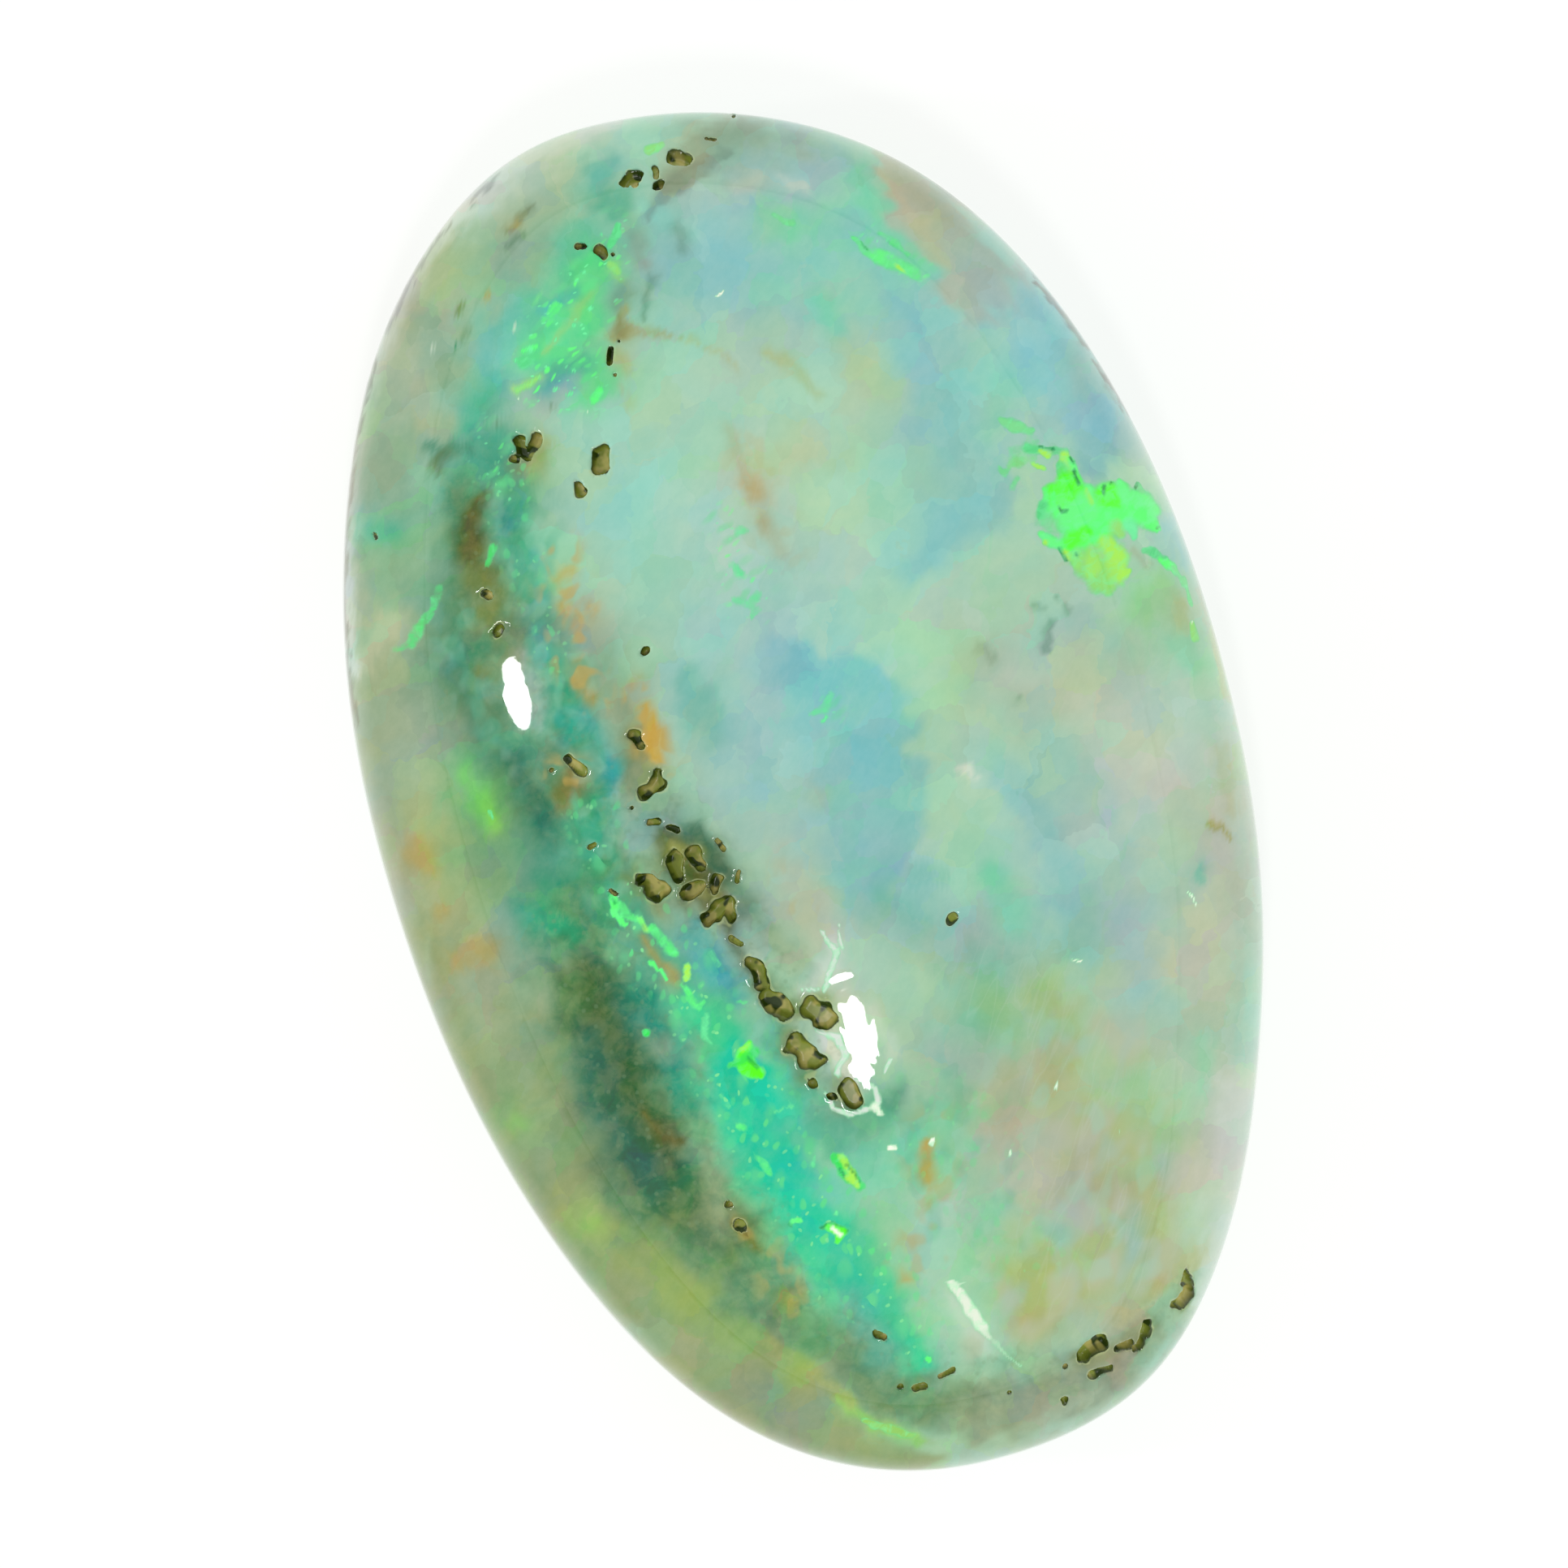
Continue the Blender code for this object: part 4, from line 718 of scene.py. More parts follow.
    ("mint_flash", 0.55, [(-2.3, -2.7, 0.04), (-2.42, -2.95, 0.05), (-2.36, -3.1, 0.03)]),
    ("mint_flash", 0.5, [(-2.0, -1.85, 0.03), (-1.93, -2.05, 0.03)]),
    ("bright", 0.55, [(-1.8, -2.62, 0.03), (-1.72, -2.66, 0.03)]),
    ("lime", 1.0, [(-1.82, -3.25, 0.05), (-2.0, -3.4, 0.08), (-1.95, -3.55, 0.1), (-1.78, -3.72, 0.05)]),
    ("leaf", 0.7, [(-2.18, -3.48, 0.04), (-2.0, -3.45, 0.06), (-1.78, -3.38, 0.07)]),
    ("yellow_lime", 0.6, [(-1.95, -3.3, 0.04), (-1.82, -3.25, 0.03)]),
    ("leaf_dark", 0.5, [(-1.9, -3.45, 0.02), (-1.82, -3.62, 0.02)]),
    ("mint_flash", 0.5, [(-2.4, -3.85, 0.03), (-2.35, -4.0, 0.03)]),
    ("bright", 0.6, [(-2.32, -4.32, 0.04), (-2.22, -4.38, 0.05)]),
    ("mint_flash", 0.5, [(-1.75, -4.28, 0.02), (-1.5, -4.27, 0.03)]),
    ("bright", 0.5, [(-2.15, -4.85, 0.05), (-2.05, -5.1, 0.05)]),
    ("mint_flash", 0.5, [(-1.45, -5.15, 0.03), (-1.35, -5.05, 0.02)]),
    ("leaf", 0.8, [(-1.1, -5.12, 0.06), (-1.02, -5.35, 0.1), (-0.88, -5.6, 0.08)]),
    ("yellow_lime", 0.8, [(-1.02, -5.15, 0.03), (-0.93, -5.4, 0.05), (-0.92, -5.6, 0.03)]),
    ("leaf_dark", 0.7, [(-1.08, -5.3, 0.02), (-1.0, -5.5, 0.02)]),
    ("leaf_dark", 0.6, [(-0.98, -5.25, 0.015), (-0.84, -5.55, 0.015)]),
    ("leaf_dark", 0.8, [(-1.55, -6.05, 0.03), (-1.4, -6.02, 0.03), (-1.25, -6.2, 0.03)]),
    ("leaf_dark", 0.7, [(-2.0, -5.87, 0.02), (-1.95, -5.92, 0.02)]),
    ("yellow_lime", 1.0, [(-0.98, -5.45, 0.05), (-0.92, -5.6, 0.04)]),
    ("lime", 1.0, [(-1.45, -6.08, 0.05), (-1.32, -6.18, 0.06), (-1.4, -6.28, 0.04)]),
    ("glint", 1.0, [(-1.42, -6.1, 0.025), (-1.33, -6.2, 0.025)]),
    ("bright", 1.0, [(-1.93, -5.85, 0.04), (-1.85, -5.86, 0.04)]),
    ("leaf", 1.0, [(-3.2, -2.7, 0.05)]),
    ("mint_flash", 1.0, [(-1.3, -5.9, 0.03)]),
    ("bright", 1.0, [(-0.62, -8.3, 0.04)]),
    ("boundary", 1.0, [(-1.75, -8.9, 0.04), (-1.45, -9.1, 0.05), (-1.15, -9.3, 0.04)]),
    # in the milky body
    ("mint_flash", 0.5, [(0.3, 1.0, 0.05), (0.5, 1.02, 0.07), (0.65, 1.18, 0.04)]),
    ("mint_flash", 0.9, [(0.44, 0.86, 0.02), (0.47, 0.9, 0.02)]),
    ("mint_flash", 0.5, [(0.05, 3.75, 0.08)]),
    ("mint_flash", 0.5, [(-0.22, 3.35, 0.04), (-0.12, 3.15, 0.06)]),
    ("mint_flash", 0.45, [(-0.3, 2.85, 0.06), (-0.1, 2.7, 0.06), (0.05, 2.85, 0.05)]),
    ("mint_flash", 0.45, [(-0.15, 2.55, 0.04), (0.0, 2.6, 0.03)]),
    ("mint_flash", 0.55, [(-4.45, 0.85, 0.03), (-4.48, 0.95, 0.03)]),
    # painted highlights: bright edges of the lamp's reflection beside the seam's lower pits
    ("gloss", 0.9, [(-0.98, -4.2, 0.02), (-0.93, -4.45, 0.03), (-0.72, -4.62, 0.03), (-0.5, -4.6, 0.04)]),
    ("gloss", 0.9, [(-0.48, -4.15, 0.03), (-0.28, -4.35, 0.03), (-0.3, -4.55, 0.05)]),
    ("gloss", 1.0, [(-0.85, -3.35, 0.02), (-0.6, -3.5, 0.05), (-0.55, -3.75, 0.05), (-0.75, -4.0, 0.03)]),
    ("gloss", 1.0, [(-0.4, -2.0, 0.02), (-0.3, -2.35, 0.04), (-0.45, -2.6, 0.04), (-0.6, -2.8, 0.03)]),
    ("gloss", 1.0, [(-0.15, -1.95, 0.015), (-0.2, -2.3, 0.03)]),
    ("gloss", 1.0, [(-0.9, -2.72, 0.02), (-0.7, -2.78, 0.02)]),
    ("gloss", 1.0, [(-0.08, -4.15, 0.02), (0.05, -4.0, 0.02)]),
    ("glint", 0.8, [(-0.38, -4.6, 0.06), (-0.33, -4.72, 0.05)]),
    # small glints from grains
    ("glint", 1.0, [(-0.33, -5.22, 0.04), (-0.26, -5.23, 0.03)]),
    ("glint", 1.0, [(0.26, -5.33, 0.025), (0.3, -5.27, 0.02)]),
    ("glint", 1.0, [(0.65, 7.05, 0.015), (0.75, 7.1, 0.01)]),
    ("glint", 1.0, [(2.9, -3.36, 0.02), (3.0, -3.43, 0.02)]),
    ("glint", 1.0, [(2.15, -5.08, 0.018), (2.23, -4.98, 0.018)]),
    ("glint", 1.0, [(1.28, -5.78, 0.018), (1.3, -5.7, 0.015)]),
    ("glint", 1.0, [(4.76, -2.9, 0.012), (4.8, -3.12, 0.015)]),
    ("glint", 1.0, [(2.88, -5.88, 0.018)]),
)

# Open pits: depth, then the middle line with half widths.
PITS = (
    (0.14, [(-0.20, 9.01, 0.06), (-0.04, 9.07, 0.09), (0.03, 9.06, 0.09)]),
    (0.08, [(-0.04, 8.96, 0.06)]),
    (0.12, [(0.25, 8.85, 0.07), (0.32, 8.86, 0.07)]),
    (0.06, [(0.29, 8.98, 0.04), (0.30, 9.10, 0.05)]),
    (0.14, [(0.60, 9.18, 0.10), (0.76, 9.12, 0.09)]),
    (0.08, [(1.13, 9.32, 0.025), (1.23, 9.27, 0.03)]),
    (0.10, [(-1.06, 8.32, 0.05), (-0.98, 8.30, 0.04)]),
    (0.13, [(-0.77, 8.17, 0.09), (-0.75, 8.08, 0.07)]),
    (0.06, [(-0.61, 8.06, 0.03)]),
    (0.12, [(-1.07, 6.58, 0.05), (-1.02, 6.76, 0.045)]),
    (0.05, [(-0.87, 6.84, 0.025)]),
    (0.05, [(-1.05, 6.38, 0.028)]),
    (0.14, [(-2.62, 5.87, 0.09), (-2.63, 5.70, 0.07)]),
    (0.14, [(-2.56, 5.66, 0.10), (-2.46, 5.70, 0.07), (-2.36, 5.84, 0.08)]),
    (0.09, [(-2.76, 5.63, 0.07)]),
    (0.15, [(-1.55, 5.35, 0.13), (-1.62, 5.18, 0.11)]),
    (0.10, [(-1.99, 5.00, 0.07), (-1.97, 4.90, 0.08)]),
    (0.12, [(-1.73, 2.50, 0.065)]),
    (0.12, [(-2.20, 1.37, 0.10), (-2.15, 1.25, 0.07)]),
    (0.15, [(-2.25, 0.57, 0.12), (-2.06, 0.66, 0.12), (-2.02, 0.78, 0.06)]),
    (0.08, [(-2.32, 0.14, 0.05), (-2.22, 0.13, 0.06)]),
    (0.06, [(-3.24, 0.05, 0.04), (-3.17, 0.06, 0.035)]),
    (0.16, [(-2.62, -0.60, 0.12), (-2.50, -0.78, 0.17)]),
    (0.17, [(-2.12, -0.45, 0.12), (-2.17, -0.68, 0.10)]),
    (0.15, [(-1.86, -0.42, 0.10), (-1.78, -0.62, 0.09)]),
    (0.17, [(-2.08, -0.97, 0.11), (-1.90, -0.90, 0.10)]),
    (0.13, [(-1.64, -0.90, 0.09), (-1.70, -1.05, 0.06)]),
    (0.18, [(-1.92, -1.38, 0.11), (-1.60, -1.28, 0.12), (-1.58, -1.45, 0.10)]),
    (0.14, [(-1.46, -2.15, 0.12), (-1.41, -2.52, 0.09)]),
    (0.16, [(-1.38, -2.70, 0.13), (-1.22, -2.90, 0.16)]),
    (0.15, [(-0.85, -3.05, 0.17), (-0.70, -3.18, 0.17)]),
    (0.13, [(-1.18, -3.45, 0.17), (-1.05, -3.75, 0.18)]),
    (0.15, [(-0.66, -4.22, 0.14), (-0.64, -4.45, 0.12)]),
    (0.10, [(-0.92, -4.28, 0.07)]),
    (0.09, [(-1.12, -4.05, 0.08)]),
    (0.08, [(-2.74, -5.38, 0.06)]),
    (0.08, [(-2.66, -5.70, 0.09)]),
    (0.10, [(-1.25, -7.74, 0.055), (-1.14, -7.80, 0.045)]),
    (0.09, [(-0.90, -8.64, 0.06), (-0.78, -8.66, 0.05)]),
    (0.07, [(-0.52, -8.57, 0.04), (-0.33, -8.54, 0.045)]),
    (0.07, [(-1.12, -8.57, 0.05)]),
    (0.16, [(1.55, -8.85, 0.12), (1.80, -8.75, 0.13)]),
    (0.13, [(2.02, -8.92, 0.06), (2.18, -8.90, 0.07)]),
    (0.14, [(2.28, -8.98, 0.06), (2.45, -8.85, 0.08), (2.52, -8.68, 0.07)]),
    (0.09, [(1.58, -9.17, 0.07), (1.85, -9.16, 0.05)]),
    (0.08, [(1.08, -9.43, 0.06)]),
    (0.06, [(1.22, -8.94, 0.04)]),
    (0.14, [(3.25, -8.15, 0.07), (3.22, -8.45, 0.10), (3.02, -8.55, 0.09)]),
    (0.04, [(1.38, -2.37, 0.06), (1.44, -2.32, 0.07)]),
    (0.07, [(-1.48, -0.35, 0.03), (-1.42, -0.5, 0.04)]),
    (0.07, [(-2.08, 0.02, 0.04), (-1.98, -0.06, 0.05)]),
    (0.06, [(-2.5, 0.42, 0.03)]),
    (0.07, [(-1.30, -0.86, 0.03), (-1.36, -0.98, 0.04)]),
    (0.06, [(-3.46, 1.25, 0.035)]),
    (0.06, [(-3.12, -0.62, 0.03), (-3.06, -0.7, 0.03)]),
    (0.06, [(-4.98, 5.13, 0.03), (-4.99, 5.2, 0.02)]),
    (0.06, [(-1.66, -1.75, 0.05), (-1.55, -1.85, 0.04)]),
    (0.06, [(1.6, 9.55, 0.03)]),
    (0.05, [(0.36, -9.08, 0.03)]),
    (0.09, [(-3.67, 3.88, 0.07)]),
    (0.09, [(-3.65, 3.37, 0.09)]),
    (0.08, [(-3.20, 1.35, 0.06), (-3.05, 1.12, 0.09)]),
)

# How strongly each small marking is spread over the stone, with the middle lines of where it is.
SPREADS = {
    "sand": (
        (0.7, [(-3.6, 5.2, 0.4), (-3.7, 3.4, 0.5), (-3.2, 1.0, 0.6), (-2.3, -0.3, 0.6)]),
        (1.0, [(-3.6, -1.0, 0.6), (-3.7, -3.0, 0.9), (-3.3, -5.0, 0.8), (-2.4, -6.8, 0.6)]),
        (0.7, [(-1.9, -0.7, 0.5), (-1.3, -2.6, 0.4), (-0.9, -4.0, 0.4)]),
        (0.7, [(-2.4, -6.8, 0.6), (-1.0, -8.6, 0.5), (1.2, -9.2, 0.4), (3.0, -8.6, 0.4)]),
    ),
    "glitter": (
        (1.0, [
            (-2.7, -1.2, 0.4), (-2.3, -2.8, 0.4), (-1.9, -4.4, 0.5), (-1.3, -6.4, 0.5), (-0.8, -7.8, 0.3)]),
        (0.5, [(-2.9, 5.4, 0.4), (-3.0, 4.6, 0.3), (-2.9, 2.6, 0.2)]),
        (0.7, [(-2.9, 0.6, 0.3), (-3.0, -0.6, 0.3)]),
        (0.3, [(0.3, -5.2, 0.8), (0.8, -6.8, 0.8)]),
    ),
    "dashes": (
        (1.0, [(-0.8, 7.9, 0.25), (-1.6, 7.2, 0.5), (-2.1, 6.7, 0.35), (-1.4, 6.3, 0.25)]),
        (0.5, [(-2.9, 6.0, 0.3), (-2.9, 5.2, 0.3)]),
        (0.5, [(-0.1, 4.0, 0.2), (-0.1, 2.8, 0.3)]),
        (0.4, [(0.6, 1.1, 0.2)]),
        (0.5, [(-0.6, 8.4, 0.25)]),
        (0.7, [(3.0, 7.3, 0.15), (3.5, 6.6, 0.15)]),
    ),
    "rusts": (
        (0.8, [(-2.5, 4.0, 0.3), (-2.6, 3.0, 0.3), (-2.7, 2.1, 0.25)]),
        (1.0, [(-2.0, 1.9, 0.15), (-2.0, 0.9, 0.2)]),
        (0.7, [(-3.2, 1.1, 0.25)]),
        (0.4, [(-2.6, -5.4, 0.25), (-2.2, -6.9, 0.3)]),
        (0.4, [(0.3, -5.3, 0.4), (0.0, -6.4, 0.3), (-0.5, -7.0, 0.3)]),
        (0.2, [(0.4, 4.8, 0.25), (0.5, 3.3, 0.3)]),
        (0.4, [(-0.6, -1.3, 0.3)]),
    ),
    "teals": (
        (0.8, [(-2.9, 4.6, 0.5), (-2.9, 3.0, 0.4), (-2.9, 1.2, 0.4), (-3.0, -0.3, 0.4)]),
        (0.25, [(-0.6, 9.2, 0.4), (-1.6, 7.6, 0.6), (-2.8, 6.4, 0.6)]),
        (0.4, [(-1.2, -4.6, 0.5), (0.4, -5.4, 0.8), (0.8, -6.9, 0.7)]),
        (0.5, [(-4.2, 3.6, 0.4), (-4.2, 1.5, 0.4)]),
    ),
    "ochres": (
        (1.0, [(0.9, -8.0, 0.5), (1.3, -7.4, 0.5), (2.6, -7.2, 0.7), (2.6, -5.8, 0.6)]),
        (0.8, [(2.4, -4.3, 0.45), (3.4, -4.8, 0.3)]),
        (0.4, [(3.4, -6.2, 0.5)]),
    ),
    "fibres": (
        (1.0, [(2.0, -7.2, 1.0), (2.8, -5.8, 0.9), (1.6, -3.6, 0.8)]),
        (0.5, [(0.3, 4.0, 1.0), (0.3, 1.0, 1.0)]),
        (0.4, [(3.2, 0.5, 1.0)]),
    ),
    "uneven": (
        (1.0, [(-0.5, -2.4, 0.4), (-0.5, -3.6, 0.5), (-0.4, -4.7, 0.4)]),
        (0.35, [(-3.7, 2.5, 0.5)]),
    ),
}

# Fragments, where the whole body is a little lighter or darker: how fine they are, how strongly they show,
# and the shift of their pattern.
FRAGMENTS = (
    (1.1, 0.13, 0.0),
    (2.4, 0.11, 5.0),
)

# Specks: the marking that says where they may be, their ink, their pattern (its turn, its stretch, its
# shift and how fine it is), the noise values where they start and are full, and their strength.
SPECKS = (
    ("teals", "teal", (1.1, 1.3, 1.0, 2.2), 0.50, 0.68, 0.7),
    ("teals", "milk", (1.1, 1.2, 4.0, 2.8), 0.52, 0.68, 0.22),
    ("teals", "seam_blue", (0.9, 1.2, 17.0, 2.0), 0.54, 0.70, 0.25),
    ("rusts", "orange", (1.2, 1.2, 7.0, 3.0), 0.52, 0.66, 0.8),
    ("ochres", "ochre", (0.9, 1.6, 9.0, 1.5), 0.42, 0.68, 0.6),
    ("ochres", "pink_grey", (0.9, 1.6, 12.0, 1.8), 0.44, 0.68, 0.6),
    ("ochres", "slate_grey", (0.9, 1.6, 21.0, 2.2), 0.52, 0.70, 0.25),
    ("fibres", "aqua", (0.9, 1.6, 15.0, 2.4), 0.54, 0.70, 0.25),
)

# Glitter: the marking that says where it may be, its ink, how many flecks fit on a millimetre, their turn
# and stretch, the most of them that show, and how far from its middle each ends and is full.
GLITTERS = (
    ("glitter", "flash_field", 3.6, 1.3, 1.6, 0.35, (0.5, 0.1)),
    ("glitter", "glow", 6.0, 1.1, 1.5, 0.30, (0.36, 0.16)),
    ("glitter", "glow_pale", 9.0, 0.9, 1.2, 0.16, (0.28, 0.12)),
    ("dashes", "glow", 5.5, 0.45, 2.6, 0.35, (0.45, 0.1)),
    ("dashes", "bright", 10.0, 0.50, 2.4, 0.22, (0.34, 0.14)),
    ("dashes", "mint_flash", 13.0, 0.4, 1.6, 0.14, (0.30, 0.12)),
)

# The lamps that show in the polish: where on the stone, their width and height, and their turn.
LAMPS = (
    (-3.67, 2.45, 33.0, 42.0, 0.0),
    (-0.34, -3.75, 32.0, 52.0, 0.22),
)
LAMP_DISTANCE = 300.0
LAMP_BRIGHTNESS = 30.0

# Where the noise starts, so that every run gives the same stone. Unseeded, it would start from the clock.
NOISE_SEED = 7


def linear(ink):
    """The ink's light values, worked out from its screen values."""
    shares = [value / 255 for value in INKS[ink]]
    return np.array([s / 12.92 if s <= 0.04045 else ((s + 0.055) / 1.055) ** 2.4 for s in shares])


def smooth(values):
    """Eases from 0 to 1 without corners."""
    held = np.clip(values, 0, 1)
    return held * held * (3 - 2 * held)


def rim_reach(turn):
    """How far the rim reaches at each angle, as a share of its half width and half length."""
    across, along = np.cos(turn), np.sin(turn)
    reach = (np.abs(across) ** RIM_FULLNESS + np.abs(along) ** RIM_FULLNESS) ** (-1 / RIM_FULLNESS)
    reach = reach * (1 + RIM_EGG * along * across**2)
    for place, spread_to, share in RIM_TOUCHES:
        away = (np.degrees(turn) - place + 180) % 360 - 180
        reach = reach * (1 + share * np.exp(-((away / spread_to) ** 2)))
    return reach


def rim_halves(size):
    """The half width and half length with which the rim just fills a box of this size."""
    turns = np.linspace(-math.pi, math.pi, RIM_STEPS)
    reach = rim_reach(turns)
    return size.x / np.ptp(reach * np.cos(turns)), size.y / np.ptp(reach * np.sin(turns))


def net_turn_and_radius(net):
    """Turns the square net into a round one: its angle and its radius, 1 at the edge."""
    a, b = net[:, 0], net[:, 1]
    wide = np.abs(a) > np.abs(b)
    safe_a = np.where(wide, a, 1)
    safe_b = np.where(wide | (b == 0), 1, b)
    radius = np.where(wide, a, b)
    angle = np.where(wide, math.pi / 4 * b / safe_a, math.pi / 2 - math.pi / 4 * a / safe_b)
    return np.arctan2(radius * np.sin(angle), radius * np.cos(angle)), np.abs(radius)


def stone_points(net, size):
    """The net's points on the stone, in millimetres. Depths below the girdle are whole ring numbers."""
    turn, radius = net_turn_and_radius(net)
    share = radius * (1 + NET_CROWDING - NET_CROWDING * radius**2)
    rise = np.sqrt(np.clip(1 - share**DOME_FULLNESS, 0, 1))
    height = GIRDLE_SHARE * size.z + (1 - GIRDLE_SHARE) * size.z * rise
    ring = np.rint(-net[:, 2]).astype(int)
    for number, (ring_share, ring_height) in enumerate(LOWER_RINGS, 1):
        share = np.where(ring == number, ring_share, share)
        height = np.where(ring == number, ring_height * GIRDLE_SHARE * size.z, height)
    share = np.where(ring > len(LOWER_RINGS), 0, share)
    height = np.where(ring > len(LOWER_RINGS), 0, height)
    drift = np.where(ring > 0, 0, 1 - share**2)
    reach = rim_reach(turn) * share
    half_width, half_length = rim_halves(size * INSIDE)
    x = half_width * reach * np.cos(turn) + TOP_SHIFT[0] * drift
    y = half_length * reach * np.sin(turn) + TOP_SHIFT[1] * drift
    return np.column_stack((x, y, height))


def reach_and_side(places, trail):
    """How far each place is from a trail's middle line, in half widths, so 1 on the trail's edge. Also
    on which side of the trail it lies: 1 at its left, -1 at its right."""
    nearest = np.full(len(places), FAR)
    side = np.zeros(len(places))
    for (x0, y0, wide0), (x1, y1, wide1) in zip(trail, trail[1:] or trail):
        run = np.array((x1 - x0, y1 - y0))
        offset = places - (x0, y0)
        along = np.clip(offset @ run / max(run @ run, 1e-9), 0, 1)
        gap = np.linalg.norm(offset - along[:, None] * run, axis=1)
        reach = gap / (wide0 + (wide1 - wide0) * along)
        across = run[0] * offset[:, 1] - run[1] * offset[:, 0]
        side = np.where(reach < nearest, np.sign(across), side)
        nearest = np.minimum(nearest, reach)
    return nearest, side


def reach_of(places, trail):
    return reach_and_side(places, trail)[0]


def noise_of(points, scale, seed):
    """Two channels of smooth noise, about -1 to 1, one value pair for each point."""
    shift = Vector([seed * step for step in NOISE_SHIFT])
    return np.array([noise.noise_vector(Vector(p) * scale + shift)[:2] for p in points]) * NOISE_GAIN


def near_trails(places, trails, margin):
    """True where a place is near one of the trails."""
    near = np.zeros(len(places), bool)
    for trail in trails:
        widened = [(x, y, wide + margin) for x, y, wide in trail]
        near |= reach_of(places, widened) < 1
    return near


def refine(bm, size, trails, margin):
    """Splits the net's cells in two each way round the trails, for a finer shape there."""
    bm.verts.ensure_lookup_table()
    net = np.array([v.co for v in bm.verts])
    places = stone_points(net, size)[:, :2]
    near = near_trails(places, trails, margin)
    bm.verts.index_update()
    edges = [e for e in bm.edges if near[e.verts[0].index] and near[e.verts[1].index]]
    inner = [e for e in edges if not any(v.is_boundary for v in e.verts)]
    bmesh.ops.subdivide_edges(bm, edges=inner, cuts=1, use_grid_fill=True)


def stone_net(size):
    """The stone laid out as a net: a square for the dome, and rings that go down from its edge."""
    bm = bmesh.new()
    bmesh.ops.create_grid(bm, x_segments=NET_ACROSS, y_segments=NET_ALONG, size=1)
    pit_trails = [trail for depth, trail in PITS]
    refine(bm, size, pit_trails + [trail for ink, strength, trail in FLASHES], FLASH_MARGIN)
    refine(bm, size, pit_trails, PIT_MARGIN)
    edges = [e for e in bm.edges if e.is_boundary]
    for ring in range(1, len(LOWER_RINGS) + 1):
        made = bmesh.ops.extrude_edge_only(bm, edges=edges)["geom"]
        edges = [e for e in made if isinstance(e, bmesh.types.BMEdge) and e.is_boundary]
        for vert in {v for e in edges for v in e.verts}:
            vert.co.z = -ring
    base = bmesh.ops.contextual_create(bm, geom=edges)["faces"]
    middle = bmesh.ops.poke(bm, faces=base)["verts"][0]
    middle.co = (0, 0, -len(LOWER_RINGS) - 1)
    return bm


def write_colour(mesh, name, colours):
    layer = mesh.attributes.new(name, "FLOAT_COLOR", "POINT")
    layer.data.foreach_set("color", np.column_stack((colours, np.ones(len(colours)))).ravel())


def write_plan(mesh, name, places):
    layer = mesh.attributes.new(name, "FLOAT_VECTOR", "POINT")
    layer.data.foreach_set("vector", np.column_stack((places, np.zeros(len(places)))).ravel())


def write_amount(mesh, name, amounts):
    layer = mesh.attributes.new(name, "FLOAT", "POINT")
    layer.data.foreach_set("value", amounts)


def mean_width(trail):
    return sum(wide for x, y, wide in trail) / len(trail)


def frayed(places, trail, drift, fray):
    """The places, moved a little so that the trail's edge comes out uneven."""
    wide = min(mean_width(trail), WIDEST_FRAY)
    return places + wide * (DRIFT_SHARE * drift + FRAY_SHARE * fray)


def bare_colours(shown, normals):
    """The stone's own colours, which show as given once the room's light and its reflection are added."""
    up = np.clip(normals[:, 2], 0, 1)
    gloss = POLISH + (1 - POLISH) * (1 - up) ** 5
    mirrored = 2 * up**2 - 1
    room = np.where(mirrored > 0, ROOM_LOW + (ROOM_HIGH - ROOM_LOW) * mirrored, FLOOR_LIGHT)
    haze = np.minimum(gloss * room, MOST_HAZE)
    return np.clip((shown - haze[:, None]) / LIGHT_ON_TOP, DARKEST, 1)


def cloud_colours(places, drift, fray, crumb):
    colours = np.tile(linear("body"), (len(places), 1))
    for ink, softness, strength, trail in CLOUDS:
        reach, side = reach_and_side(frayed(places, trail, drift, fray) + CLOUD_CRUMBLE * crumb, trail)
        left, right = softness if isinstance(softness, tuple) else (softness, softness)
        share = strength / (1 + reach ** (CLOUD_EDGE / np.where(side > 0, left, right)))
        colours += (linear(ink) - colours) * share[:, None]
    return colours


def flash_layers(places, crumb):
    """How much each point flashes, and the flashes' colour there."""
    cover = np.zeros(len(places))
    colours = np.tile(linear("flash_field"), (len(places), 1))
    for ink, strength, trail in FLASHES:
        reach = reach_of(places + FLASH_CRUMBLE * crumb, trail)
        share = strength * smooth((FLASH_END - reach) / FLASH_FADE)
        cover += (1 - cover) * share
        weight = np.clip(share * FLASH_INK_GAIN, 0, 1)
        colours += (linear(ink) - colours) * weight[:, None]
    return cover, colours


def pit_layers(places, crumb):
    """How deep each point lies in a pit's plan, 0.5 on its edge, and how far down its floor is."""
    inside = np.zeros(len(places))
    floor = np.zeros(len(places))
    for depth, trail in PITS:
        reach = reach_of(places + PIT_CRUMBLE * mean_width(trail) * crumb, trail)
        inside = np.maximum(inside, np.clip(1 - reach / 2, 0, 1))
        floor = np.maximum(floor, depth * smooth((PIT_END - reach) / PIT_FADE))
    return inside, floor


def spread(places, drift, fray, trails):
    """How strongly a small marking is spread over each point."""
    amount = np.zeros(len(places))
    for strength, trail in trails:
        reach = reach_of(frayed(places, trail, drift, fray), trail)
        amount = np.maximum(amount, strength * smooth((SPREAD_END - reach) / SPREAD_FADE))
    return amount


def mesh_of(bm, name):
    mesh = bpy.data.meshes.new(name)
    bm.to_mesh(mesh)
    bm.free()
    return mesh


def linked(name, data):
    """A new object in the scene."""
    made = bpy.data.objects.new(name, data)
    bpy.context.scene.collection.objects.link(made)
    return made


